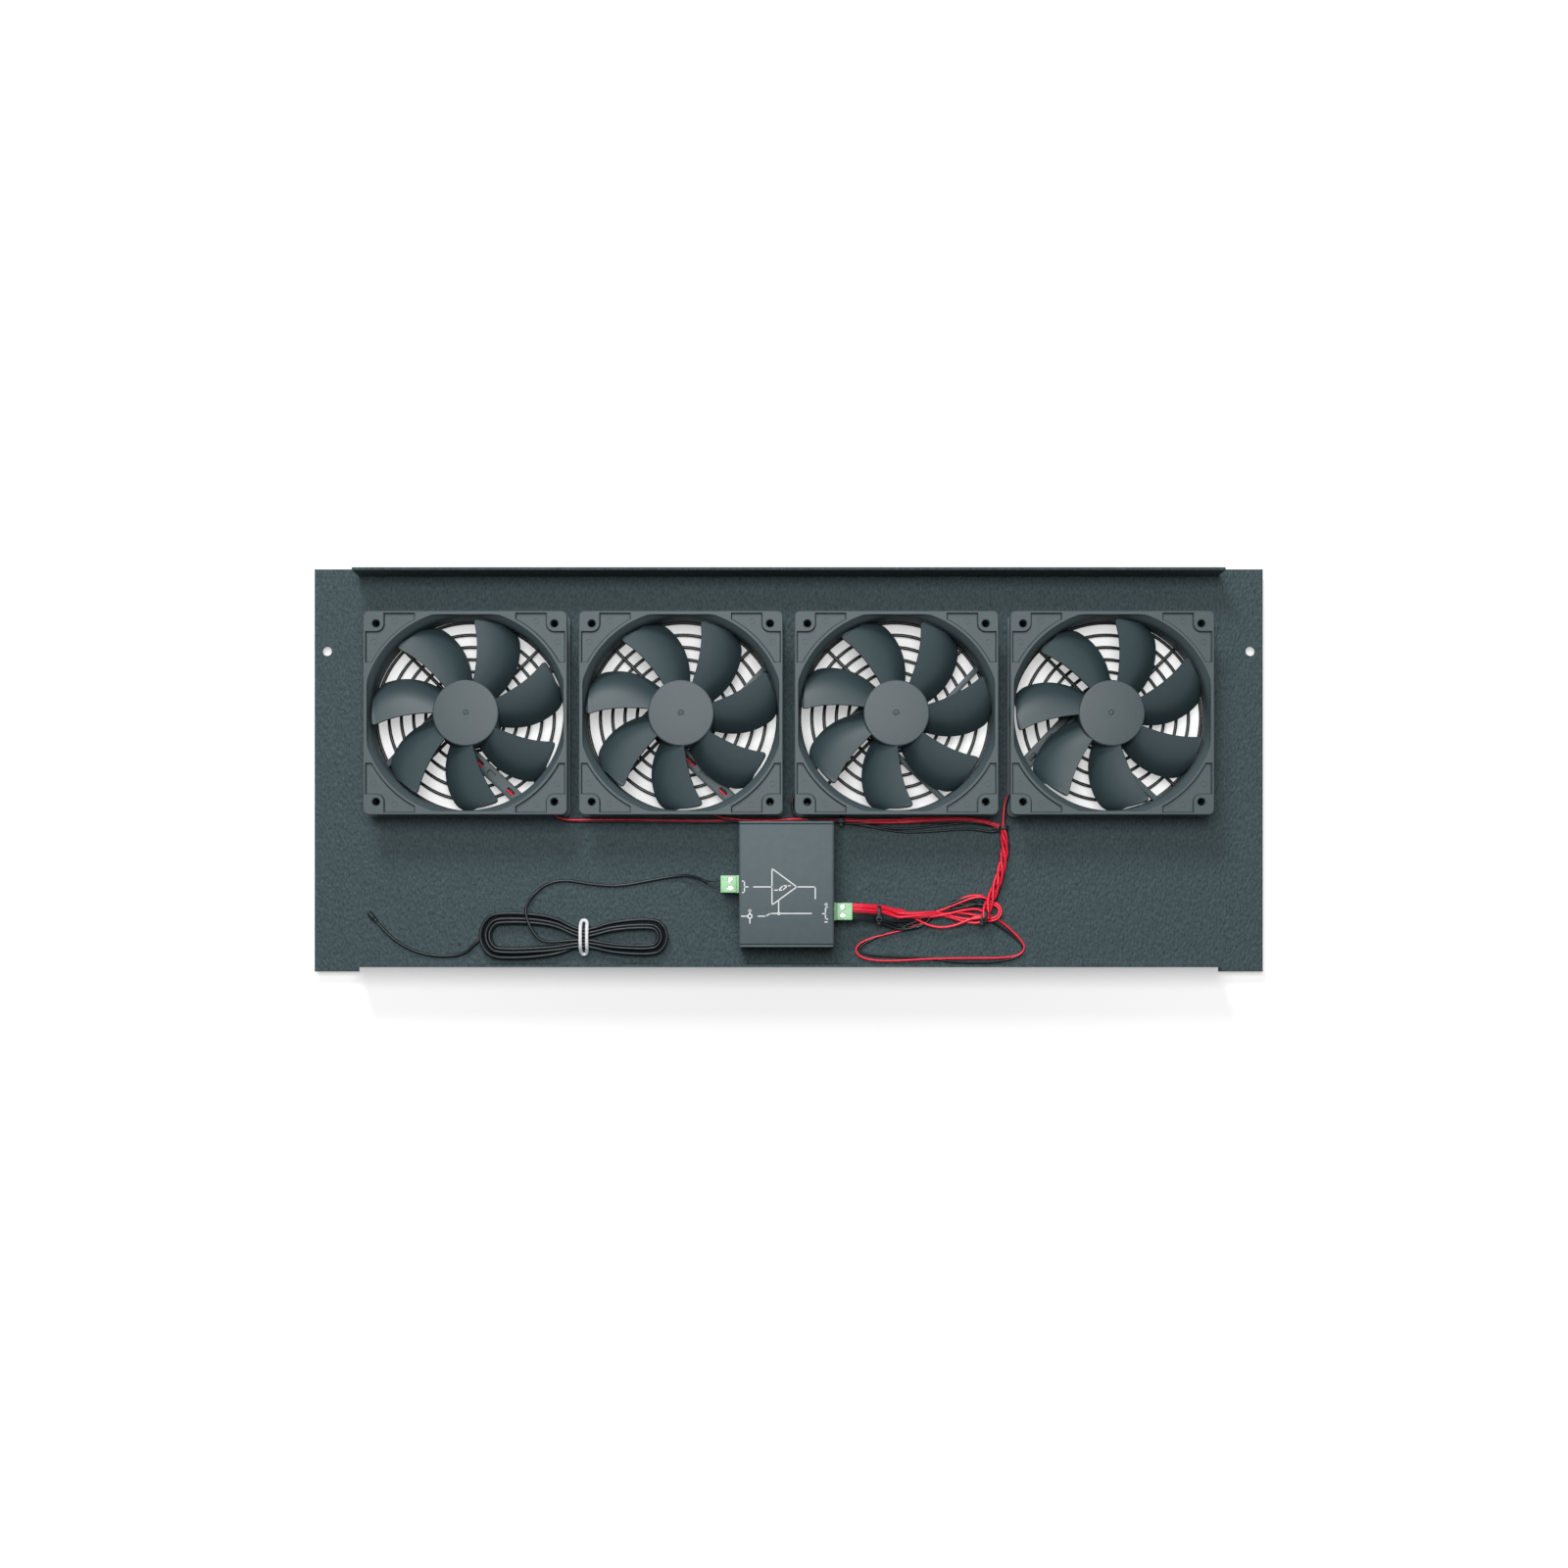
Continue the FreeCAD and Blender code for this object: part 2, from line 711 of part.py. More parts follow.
def guard_shape():
    """Concentric wire rings spot-welded under four radial wires that end in screw eyelets."""
    head = size("guard_screw_head_height")
    radial = size("radial_wire")
    wire = size("ring_wire")
    outer = size(f"{THROAT} - guard_ring_inset")
    pitch = size("ring_pitch")
    wires = []
    for number, sides in enumerate(RING_SIDES):
        wires.append(ring_shape(outer - number * pitch, sides, wire, wire, head - wire))
    inner_end = outer - (len(RING_SIDES) - 1) * pitch - wire / 2
    eye = size(HOLE_SPACING) / math.sqrt(2)
    eyelet = (size("eyelet_radius") + size("eyelet_hole")) / 2
    band = size("eyelet_radius") - size("eyelet_hole")
    for number in range(4):
        bar = Part.makeBox(eye - eyelet - inner_end, radial, radial, Vector(inner_end, -radial / 2, head))
        loop = ring_shape(eyelet, EYELET_SIDES, band, radial, head)
        loop.translate(Vector(eye, 0, 0))
        spoke = bar.fuse(loop).removeSplitter()
        spoke.rotate(Vector(), Vector(0, 0, 1), 45 + 90 * number)
        wires.append(spoke)
    return Part.makeCompound(wires)


def finger_guards():
    """One guard under each fan."""
    shape = guard_shape()
    for number in FANS:
        item = shaped(f"finger_guard_{number}", shape)
        place(item, fan_across(number), FAN_ROW)


def guard_screws():
    """Screws through guard eyelet, panel and fan flange, heads underneath."""
    screws = []
    for number in FANS:
        for corner, (across, along) in enumerate(((-1, -1), (1, -1), (1, 1), (-1, 1))):
            x = f"{fan_across(number)} + {across} * {HOLE_SPACING} / 2"
            y = f"{FAN_ROW} + {along} * {HOLE_SPACING} / 2"
            name = f"guard_screw_{number}_{corner}"
            wide, tall = "guard_screw_head_radius", "guard_screw_head_height"
            head = prism(f"{name}_head", SCREW_SIDES, wide, tall, x, y)
            reach = f"{PANEL_TOP} + guard_screw_reach"
            shank = prism(f"{name}_shank", SCREW_SIDES, "guard_screw_radius", reach, x, y)
            screws.append(fuse(name, head, shank))
    node(group("guard_screws", screws), "guard_screws")


# ---------------------------------------------------------------- control box


def control_box_case():
    """Extruded case with board rails and openings for the terminals and the power jack."""
    body = doc.addObject("PartDesign::Body", "control_box_body")
    length = "box_depth - 2 * end_plate_thickness"
    half = "box_width / 2"
    block_section = sketch_on(body, "case_section", "XZ_Plane")
    rectangle(block_section, "box_width", "box_height", "0", "box_height / 2")
    solid = pad(body, block_section, length, midplane=True)
    along = Vector(0, 1, 0)
    round_edges(body, solid, "box_edge_radius", lambda e: lies_along(e, along))
    doc.recompute()
    cavity = sketch_on(body, "case_cavity", "XZ_Plane")
    wide = f"({half} - box_wall)"
    slim = f"({wide} - rail_width)"
    rail = "(box_wall + rail_height)"
    roof = "(box_height - box_wall)"
    outline(
        cavity,
        (f"-{slim}", "box_wall"),
        (slim, "box_wall"),
        (slim, rail),
        (wide, rail),
        (wide, roof),
        (f"-{wide}", roof),
        (f"-{wide}", rail),
        (f"-{slim}", rail),
    )
    removes(body, pocket(body, cavity), "the cavity")
    board_top = "(box_wall + rail_height + board_thickness)"
    for name, side, row, width, height in (
        ("thermistor_opening", "-", THERMISTOR_ROW, "header_width", "header_height"),
        ("fan_opening_box", "", FAN_TERMINAL_ROW, "header_width", "header_height"),
        ("jack_opening", "-", JACK_ROW, "jack_width", "jack_height"),
    ):
        slot = sketch_on(body, name, "YZ_Plane", f"{side}{half} {'+' if side else '-'} box_wall / 2")
        gap = "2 * fit_gap"
        middle = f"{board_top} + {height} / 2"
        rectangle(slot, f"{width} + {gap}", f"{height} + {gap}", f"{row} - {BOX_ALONG}", middle)
        opening = body.newObject("PartDesign::Pocket", f"{name}_pocket")
        opening.Profile = slot
        opening.Midplane = True
        bind(opening, Length="2 * box_wall")
        removes(body, opening, name)
    place(body, "box_across", BOX_ALONG, BOX_BASE)
    return node(body, "control_box_case")


def end_plate(label, side):
    """Rounded plate that closes one end of the case."""
    body = doc.addObject("PartDesign::Body", f"{label}_body")
    section = sketch_on(body, f"{label}_section", "XZ_Plane")
    rectangle(section, "box_width", "box_height", "0", "box_height / 2")
    plate = pad(body, section, "end_plate_thickness", midplane=True)
    along = Vector(0, 1, 0)
    round_edges(body, plate, "box_edge_radius", lambda e: lies_along(e, along))
    y = f"{BOX_ALONG} {side} (box_depth - end_plate_thickness) / 2"
    place(body, "box_across", y, BOX_BASE)
    node(body, label)


def terminal(name, row, side):
    """Board header that stands out of the case, its plug and the plug's clamp screws."""
    edge = BOX_RIGHT if side == "+" else BOX_LEFT
    back = "-" if side == "+" else "+"
    rim = f"({edge} {side} header_stand_out)"
    header = block(
        f"{name}_header_body",
        "header_depth",
        "header_width",
        "header_height",
        f"{rim} {back} header_depth / 2",
        row,
        BOARD_TOP,
    )
    socket = block(
        f"{name}_socket",
        "header_depth - header_wall",
        "header_width - 2 * header_wall",
        "header_height - 2 * header_wall",
        f"{rim} {back} (header_depth - header_wall) / 2",
        row,
        f"{BOARD_TOP} + header_wall",
    )
    node(cut(f"{name}_header", header, socket), f"{name}_header")
    middle = f"{BOARD_TOP} + header_height / 2"
    grip = block(
        f"{name}_plug_grip",
        "plug_depth",
        "plug_width",
        "plug_height",
        f"{rim} {side} plug_depth / 2",
        row,
        f"{middle} - plug_height / 2",
    )
    nose = block(
        f"{name}_plug_nose",
        "header_depth - 2 * header_wall",
        "header_width - 2 * header_wall - 2 * plug_gap",
        "header_height - 2 * header_wall - 2 * plug_gap",
        f"{rim} {back} (header_depth / 2 - header_wall)",
        row,
        f"{BOARD_TOP} + header_wall + plug_gap",
    )
    screws, pits = [], []
    for number, shift in enumerate(("-", "+")):
        at = (f"{rim} {side} plug_depth / 2.6", f"{row} {shift} terminal_pitch / 2")
        level = f"{middle} + plug_height / 2 - clamp_screw_length"
        around_screw, deep = "clamp_screw_radius + fit_gap", "clamp_screw_length"
        screw = prism(f"{name}_clamp_{number}", 8, "clamp_screw_radius", f"{deep} - 0.4", *at, level)
        screws.append(screw)
        pits.append(prism(f"{name}_pit_{number}", 8, around_screw, deep, *at, level))
    node(cut(f"{name}_plug", fuse(f"{name}_plug", grip, nose), *pits), f"{name}_plug")
    return screws


def board_parts():
    """Circuit board in the case, what stands on it, and the power jack."""
    inside = "(box_width - 2 * box_wall)"
    along = "(box_depth - 2 * end_plate_thickness)"
    level = f"{BOX_BASE} + box_wall + rail_height"
    margin = "2 * board_margin"
    wide, deep = f"{inside} - {margin}", f"{along} - {margin}"
    board = block("board", wide, deep, "board_thickness", "box_across", BOX_ALONG, level)
    node(board, "control_board")
    chip = block("chip", "9.5", "6.5", "3.4", "box_across - 3", f"{BOX_ALONG} + 14", BOARD_TOP)
    node(chip, "comparator_chip")
    device = block("transistor", "10", "4.5", "15", "box_across + 6", f"{BOX_ALONG} - 24", BOARD_TOP)
    node(device, "drive_transistor")
    at = ("box_across - 6", f"{BOX_ALONG} - 4", BOARD_TOP)
    can = prism("capacitor", 12, "capacitor_radius", "capacitor_height", *at)
    node(can, "smoothing_capacitor")
    mouth = f"({BOX_LEFT} + box_wall / 3)"
    middle = f"{mouth} + jack_depth / 2"
    shell = block(
        "jack_shell", "jack_depth", "jack_width", "jack_height", middle, JACK_ROW, BOARD_TOP
    )
    inward = FreeCAD.Rotation(Vector(0, 1, 0), 90)
    height = f"{BOARD_TOP} + jack_height / 2"
    at = (JACK_ROW, height, inward)
    bore = prism("jack_bore", 12, "jack_bore_radius", "jack_bore_depth", mouth, *at)
    contact = prism("jack_pin", 8, "jack_pin_radius", "jack_bore_depth", f"{mouth} + 0.8", *at)
    node(fuse("power_jack", cut("jack", shell, bore), contact), "power_jack")


def mounting_pad():
    """Adhesive foam pad that holds the box on the panel."""
    margin = "2 * mounting_pad_margin"
    pad_block = block(
        "pad_block",
        f"box_width - {margin}",
        f"box_depth - {margin}",
        "mounting_pad_thickness",
        "box_across",
        BOX_ALONG,
        PANEL_TOP,
    )
    node(pad_block, "box_mounting_pad")


# ---------------------------------------------------------------- wiring


def route_wire(points):
    """Straight runs joined by tangent arcs, each arc as large as its two runs allow."""
    points = [Vector(*point) for point in points]
    edges, radii = [], []
    start = points[0]
    for before, corner, after in zip(points, points[1:], points[2:]):
        arriving, leaving = corner - before, after - corner
        turn = arriving.getAngle(leaving)
        back = 0.45 * min(arriving.Length, leaving.Length)
        radius = back / math.tan(turn / 2)
        arriving.normalize()
        leaving.normalize()
        entry, departure = corner - arriving * back, corner + leaving * back
        inward = leaving - arriving
        inward.normalize()
        middle = corner + inward * (radius / math.cos(turn / 2) - radius)
        edges.append(Part.LineSegment(start, entry).toShape())
        edges.append(Part.Arc(entry, middle, departure).toShape())
        radii.append(radius)
        start = departure
    edges.append(Part.LineSegment(start, points[-1]).toShape())
    return Part.Wire(edges), radii


def tube(name, points, radius):
    """Plain six-sided tube along a route."""
    wire, radii = route_wire(points)
    away = (Vector(*points[1]) - Vector(*points[0])).normalize()
    side = away.cross(Vector(0, 0, 1)).normalize()
    lift = side.cross(away)
    corners = []
    for number in range(7):
        angle = number * math.pi / 3
        corners.append(Vector(*points[0]) + (side * math.cos(angle) + lift * math.sin(angle)) * radius)
    profile = Part.makePolygon(corners)
    solid = wire.makePipeShell([profile], True, False)
    section = Part.Face(profile).Area
    ratio = solid.Volume / (section * wire.Length)
    print(f"{name}: length {wire.Length:.1f}, least radius {min(radii):.1f}, volume ratio {ratio:.4f}")
    if abs(ratio - 1) > 0.02:
        raise RuntimeError(f"{name}: the tube does not fill its route")
    item = doc.addObject("Part::Feature", f"{name}_tube")
    item.Shape = solid
    return item


def between(start, end, share):
    """Number that lies a share of the way from start to end."""
    return start + share * (end - start)


def fan_leads():
    """Two-wire leads from the fans, gathered and tied on their way to the fan terminal."""
    lead, upper, lower = size("lead_radius"), size("upper_trunk_radius"), size("lower_trunk_radius")
    floor = size(PANEL_TOP) + 0.1
    low = floor + lead
    second, third = low + 2 * lead + 0.2, low + 4 * lead + 0.4
    edge, row, front = size(FAN_EDGE), size(FAN_TERMINAL_ROW), size(FLANGE_FRONT)
    lane = edge - 2.1
    half = size("fan_size") / 2
    right_1, middle_2 = size(fan_across(1)) + half, size(fan_across(2))
    left_3, left_4 = size(fan_across(3)) - half, size(fan_across(4)) - half
    tie_1, tie_2, tie_3 = left_3 + 26.5, (left_4 - 2.7, edge - 6.9), (left_4 - 13.3, row - 2)
    leads, trunks = [], []
    route = [(right_1 - 10.5, edge - 1.25, low + 0.6), (right_1 - 6, lane, low + 0.3)]
    route += [(right_1 + 8.5, lane - 0.5, low), (middle_2 - 2.5, lane + 0.1, low)]
    route += [(left_3 - 17.5, lane, low), (tie_1, lane - 0.05, low)]
    leads.append(tube("fan_lead_1", route, lead))
    route = [(middle_2 + 17.5, edge - 1.25, second), (middle_2 + 22, lane, second)]
    route += [(middle_2 + 35.5, lane - 0.05, second), (tie_1, lane, second)]
    leads.append(tube("fan_lead_2", route, lead))
    route = [(left_3 - 1.25, edge + 40, third), (left_3 - 3.4, edge + 33, third)]
    route += [(left_3 - 3.5, edge + 10, third), (left_3 + 2, lane, third)]
    route += [(tie_1, lane - 0.05, third)]
    leads.append(tube("fan_lead_3", route, lead))
    thick = floor + upper
    start, end = tie_1 + 2.75, tie_2[0] - 2.6
    route = [(start, lane - 0.3, thick + 1), (between(start, end, 0.15), lane - 1.3, thick)]
    route += [(between(start, end, 0.49), lane - 0.9, thick)]
    route += [(between(start, end, 0.79), lane - 0.6, thick)]
    route += [(between(start, end, 0.91), tie_2[1], thick), (end, tie_2[1], thick)]
    trunks.append(tube("lead_trunk_upper", route, upper))
    route = [(left_4 - 1.25, edge + 40, low + 2), (left_4 - 3.4, edge + 33, low + 2)]
    route += [(left_4 - 3.5, edge + 13, low + 1.5), (tie_2[0], tie_2[1] + 1.5, low + 1)]
    leads.append(tube("fan_lead_4", route, lead))
    thick = floor + lower
    start, end = tie_2[1] - 1.65, tie_3[1] + 3.45
    route = [(tie_2[0], start, thick)]
    for across, share in ((1, 0.22), (-0.6, 0.46), (-2.2, 0.65), (-6.2, 0.83)):
        route.append((tie_2[0] + across, between(start, end, share), thick))
    route.append((tie_3[0] + 0.6, end, thick))
    trunks.append(tube("lead_trunk_lower", route, lower))
    thick = floor + size("braid_radius")
    face = size(f"{BOX_RIGHT} + header_stand_out + plug_depth")
    height = size(f"{BOARD_TOP} + header_height / 2")
    start = tie_3[0] - 4.5
    route = [(start, tie_3[1], thick), (between(face, start, 0.83), row - 3.8, thick)]
    route += [(between(face, start, 0.59), row - 2.6, thick)]
    route += [(between(face, start, 0.38), row - 0.4, thick + 1)]
    route += [(face + 16.7, row + 0.1, thick + 4), (face + 7.2, row - 0.1, height)]
    route += [(face, row - 0.1, height)]
    trunks.append(tube("lead_braid", route, size("braid_radius")))
    near = tie_3[0]
    route = [(near + 4.55, row - 2.8, low + 1), (near + 11.8, row - 5.4, low + 0.4)]
    route += [(near + 19.2, row - 9.2, low), (near + 24, front + 16.6, low)]
    route += [(near + 24, front + 10.4, low), (near + 18.6, front + 5.4, low)]
    route += [(near + 8.8, front + 3.4, low)]
    for out, up in ((68.2, 3.2), (46.2, 3.6), (26.2, 3.1), (13.2, 3), (5.2, 6), (2, 12.4)):
        route.append((face + out, front + up, low))
    for out, up in ((5.2, 18.8), (13.2, 21.4), (24.2, 20.8), (35.2, 21.6), (45.2, 23)):
        route.append((face + out, front + up, low))
    leads.append(tube("spare_lead_loop", route, lead))
    node(group("fan_leads", leads), "fan_leads")
    node(group("lead_trunks", trunks), "lead_trunks")
    base = f"{PANEL_TOP} + 0.1"
    ties = [
        block("tie_1", "2.5", "4.4", "8.9", f"{tie_1} + 1.3", f"{lane - 0.15}", base),
        block("tie_2", "5.2", "2.8", "6.5", f"{tie_2[0]}", f"{tie_2[1]}", base),
        block("tie_3", "8", "4.8", "8", f"{tie_3[0]}", f"{tie_3[1]}", base),
    ]
    node(group("cable_ties", ties), "cable_ties")


def thermistor_cord():
    """Thin cord from the left terminal: free stretch, tied hank, tail and sensing bead."""
    radius = size("cord_radius")
    floor = size(PANEL_TOP) + 0.1
    low = floor + radius
    face = size(f"{BOX_LEFT} - header_stand_out - plug_depth")
    row, front = size(THERMISTOR_ROW), size(FLANGE_FRONT)
    height = size(f"{BOARD_TOP} + header_height / 2")
    route = [
        (face, row + 0.4, height),
        (face - 4.8, row + 0.4, height),
        (face - 10.8, row + 3, height - 2.6),
        (face - 17.8, row + 5.4, low + 3.4),
        (face - 27.6, row + 5.5, low + 0.4),
        (face - 44.6, row + 2.3, low),
        (face - 62.6, row - 1, low),
        (face - 79.6, row + 0.7, low),
        (face - 93.6, row + 3.2, low),
        (face - 104.6, row + 0.9, low),
        (face - 112.6, row - 5.7, low),
        (face - 117, front + 32.2, low),
    ]
    node(tube("thermistor_lead", route, radius), "thermistor_lead")
    left, right = Vector(face - 130.2, front + 17.4, floor), Vector(face - 43.1, front + 16.8, floor)
    left_radius, right_radius = 15.4, 12.2
    waist, waist_top, waist_low = face - 82.2, front + 21.8, front + 10
    half_tie = size("hank_tie_width") / 2 + 1
    ends = []
    for middle, reach, start in ((left, left_radius, 75), (right, right_radius, 255)):
        turns = [math.radians(start + part) for part in (0, 105, 210)]
        ends.append([middle + Vector(math.cos(t), math.sin(t), 0) * reach for t in turns])
    near, far = waist - half_tie, waist + half_tie
    lower = [ends[0][2], Vector(near, waist_low, floor), Vector(far, waist_low, floor), ends[1][0]]
    upper = [ends[1][2], Vector(far, waist_top, floor), Vector(near, waist_top, floor), ends[0][0]]
    path = [Part.Arc(*ends[0]).toShape(), Part.makePolygon(lower)]
    path += [Part.Arc(*ends[1]).toShape(), Part.makePolygon(upper)]
    lift = size("hank_tie_thickness") + 0.3
    outline_wire = Part.Wire([edge for piece in path for edge in piece.Edges])
    hank = Part.Face(outline_wire).extrude(Vector(0, 0, size("hank_height")))
    hank.translate(Vector(0, 0, lift))
    shaped("thermistor_hank", hank)
    wide, tall = f"{waist_top - waist_low} + 0.6", "hank_height + 0.6"
    at = (f"{waist}", f"{(waist_top + waist_low) / 2}")
    thick = "2 * hank_tie_thickness"
    base = f"{PANEL_TOP} + 0.1"
    band = block("tie_band", "hank_tie_width", f"{wide} + {thick}", f"{tall} + {thick}", *at, base)
    inside = block(
        "tie_inside", "hank_tie_width", wide, tall, *at, f"{base} + hank_tie_thickness"
    )
    node(cut("hank_tie", band, inside), "hank_tie")
    route = [
        (face - 144.2, front + 9.9, low + 1),
        (face - 153.6, front + 6.2, low),
        (face - 166.6, front + 4.8, low),
        (face - 179.6, front + 6.5, low),
        (face - 191.6, front + 11.8, low),
        (face - 201.1, front + 19.6, low),
        (face - 207.8, front + 27.8, low),
    ]
    node(tube("thermistor_tail", route, radius), "thermistor_tail")
    start, towards = Vector(*route[-1]), Vector(*route[-1]) - Vector(*route[-2])
    towards.normalize()
    bead_radius = size("bead_radius")
    lift_bead = Vector(0, 0, bead_radius - radius)
    bead = regular(10, bead_radius, size("bead_length"), 0)
    bead.Placement = FreeCAD.Placement(start + lift_bead, FreeCAD.Rotation(Vector(0, 0, 1), towards))
    shaped("thermistor_bead", bead)


# ---------------------------------------------------------------- assembly

tray_panel()
wheel = impeller_shape()
duct = duct_shape()
for fan in FANS:
    fan_frame(fan, duct)
    impeller(fan, wheel)
    rotor_parts(fan)
motor_parts()
finger_guards()
guard_screws()
control_box_case()
end_plate("control_box_end_upper", "+")
end_plate("control_box_end_lower", "-")
board_parts()
clamps = terminal("thermistor", THERMISTOR_ROW, "-")
clamps += terminal("fan", FAN_TERMINAL_ROW, "+")
node(group("plug_clamp_screws", clamps), "plug_clamp_screws")
mounting_pad()
fan_leads()
thermistor_cord()

doc.recompute()
for item in doc.Objects:
    if "Invalid" in item.State or "Error" in item.State:
        raise RuntimeError(f"{item.Name} failed: {item.State}")
for item in nodes:
    shape = item.Shape
    if shape.isNull() or not shape.isValid() or shape.Volume <= 0:
        raise RuntimeError(f"{item.Label} has no valid shape")
for item in nodes:
    item.Shape.exportStep(f"parts/{item.Label}.step")
print(f"{len(nodes)} sub-parts written")
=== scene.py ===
import logging
import math
from collections.abc import Callable, Iterable, Sequence
from dataclasses import dataclass, field
from enum import Enum

import bmesh
import bpy
from bmesh.types import BMEdge, BMVert
from bpy.types import ID, Curve, Material, Mesh, Node, NodeSocket, NodeTree, Object
from mathutils import Matrix, Vector


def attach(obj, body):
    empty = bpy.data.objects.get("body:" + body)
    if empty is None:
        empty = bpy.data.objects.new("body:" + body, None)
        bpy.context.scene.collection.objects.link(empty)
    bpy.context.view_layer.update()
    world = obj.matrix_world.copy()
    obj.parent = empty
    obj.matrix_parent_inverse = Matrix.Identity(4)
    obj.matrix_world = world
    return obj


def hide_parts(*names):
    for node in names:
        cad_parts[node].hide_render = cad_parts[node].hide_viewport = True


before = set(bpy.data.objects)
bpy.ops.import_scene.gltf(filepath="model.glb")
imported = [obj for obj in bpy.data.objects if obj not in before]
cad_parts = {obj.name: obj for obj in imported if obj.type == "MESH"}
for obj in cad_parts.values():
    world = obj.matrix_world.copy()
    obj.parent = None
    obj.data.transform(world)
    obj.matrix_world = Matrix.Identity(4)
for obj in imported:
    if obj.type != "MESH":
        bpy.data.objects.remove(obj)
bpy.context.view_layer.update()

LOG = logging.getLogger("rack_fan_tray")
MM = 0.001
PANEL_TOP = 6.2  # upper face of the sheet, above the guard screws' heads
FAN_ROW = 32.0
FAN_PITCH = 127.0
FANS = (1, 2, 3, 4)
CORNER_HOLE = 52.5  # from a fan's axis to its corner holes, along X and along Y
CENTRE = (0.0, 0.0, 0.0)
WELD = 1e-4  # vertices closer than this are one

Point = tuple[float, float, float]
Spot = tuple[float, float]
Outline = Callable[[float], float]  # radius at an angle
Inputs = dict[str, float | Sequence[float] | NodeSocket]


class Way(Enum):
    """How another form changes the one that it is applied to."""

    CUT = "DIFFERENCE"
    JOIN = "UNION"


# ---------------------------------------------------------------- finishes


def fill(tree: NodeTree, node: Node, inputs: Inputs) -> Node:
    """Fill the inputs of a shader node.

    Args:
        tree: The tree that it stands in.
        node: The node.
        inputs: A value or another node's output for each named input.

    Returns:
        The node.
    """
    for name, value in inputs.items():
        if isinstance(value, NodeSocket):
            tree.links.new(value, node.inputs[name])
        else:
            node.inputs[name].default_value = value
    return node


def add_node(tree: NodeTree, kind: str, inputs: Inputs) -> Node:
    """A new shader node of a kind, such as Bump, with its inputs filled."""
    return fill(tree, tree.nodes.new(f"ShaderNode{kind}"), inputs)


@dataclass(frozen=True)
class Finish:
    """Surface finish that is mixed from procedural nodes.

    Sizes are in metres. The colour varies between a darker and a lighter shade by mottle,
    and the relief stands up by grain.
    """

    name: str
    colour: Point
    roughness: float = 0.5
    metallic: float = 0.0
    specular: float = 0.5
    coat: float = 0.0
    coat_roughness: float = 0.15
    mottle: float = 0.0
    mottle_size: float = 0.004
    grain: float = 0.0
    grain_size: float = 0.0008
    stretch: Point = (1.0, 1.0, 1.0)

    def material(self) -> Material:
        """The finish as a material, made once.

        Returns:
            The material.
        """
        made = bpy.data.materials.get(self.name)
        if made is not None:
            return made
        made = bpy.data.materials.new(self.name)
        made.use_nodes = True
        made.diffuse_color = (*self.colour, 1.0)
        tree = made.node_tree
        inputs = {
            "Base Color": (*self.colour, 1.0), "Roughness": self.roughness, "Metallic": self.metallic,
            "Specular IOR Level": self.specular, "Coat Weight": self.coat,
            "Coat Roughness": self.coat_roughness,
        }
        if self.mottle:
            blend = add_node(tree, "ValToRGB", {"Fac": self._noise(tree, self.mottle_size, detail=4.0)})
            for stop, share in zip(blend.color_ramp.elements, (1 - self.mottle, 1 + self.mottle)):
                stop.color = (*(min(1.0, part * share) for part in self.colour), 1.0)
            inputs["Base Color"] = blend.outputs["Color"]
        if self.grain:
            height = self._noise(tree, self.grain_size, detail=2.0)
            relief = {"Strength": 1.0, "Distance": self.grain, "Height": height}
            inputs["Normal"] = add_node(tree, "Bump", relief).outputs["Normal"]
        fill(tree, tree.nodes["Principled BSDF"], inputs)
        return made

    def _noise(self, tree: NodeTree, size: float, detail: float) -> NodeSocket:
        """Noise on the object's own coordinates.

        Args:
            tree: The material's node tree.
            size: Width of a patch of the noise.
            detail: Octaves of the noise.

        Returns:
            The noise, from 0 to 1.
        """
        place = tree.nodes.new("ShaderNodeTexCoord").outputs["Object"]
        drawn = add_node(tree, "Mapping", {"Vector": place, "Scale": self.stretch}).outputs["Vector"]
        noise = add_node(tree, "TexNoise", {"Vector": drawn, "Scale": 1.0 / size, "Detail": detail})
        return noise.outputs["Fac"]


POWDER_COAT = Finish(
    "textured powder coat", (0.046, 0.073, 0.080), 0.58, specular=0.25, mottle=0.75, mottle_size=0.0012,
    grain=0.0011, grain_size=0.0013, stretch=(1.0, 0.5, 1.0),
)
FRAME_PLASTIC = Finish(
    "fan frame plastic", (0.060, 0.086, 0.094), 0.50, specular=0.38, mottle=0.10, grain=0.00004,
    grain_size=0.0005,
)
WHEEL_PLASTIC = Finish(
    "fan wheel plastic", (0.037, 0.060, 0.068), 0.45, specular=0.42, mottle=0.08, grain=0.00003,
    grain_size=0.0005,
)
GUARD_COAT = Finish("coated guard wire", (0.012, 0.016, 0.017), 0.35, mottle=0.2)
BLACK_STEEL = Finish("blackened screw steel", (0.055, 0.058, 0.060), 0.35, 0.9, mottle=0.2)
ZINC = Finish("bright zinc", (0.86, 0.87, 0.88), 0.28, 0.85, mottle=0.06)
PLAIN_STEEL = Finish("plain steel", (0.5, 0.5, 0.52), 0.35, 1.0, mottle=0.1)
BRONZE = Finish("sintered bronze", (0.55, 0.40, 0.22), 0.55, 1.0, grain=0.00004)
FERRITE = Finish("bonded magnet", (0.045, 0.043, 0.042), 0.7, mottle=0.2)
COPPER = Finish(
    "enamelled copper", (0.62, 0.24, 0.10), 0.35, 0.9, stretch=(1.0, 1.0, 8.0),
    grain=0.0001, grain_size=0.002,
)
BOARD = Finish("circuit board", (0.03, 0.17, 0.07), 0.4, coat=0.3, mottle=0.15)
CASE = Finish(
    "control box coat", (0.094, 0.126, 0.136), 0.52, specular=0.20, mottle=0.10, grain=0.00004,
    grain_size=0.0005,
)
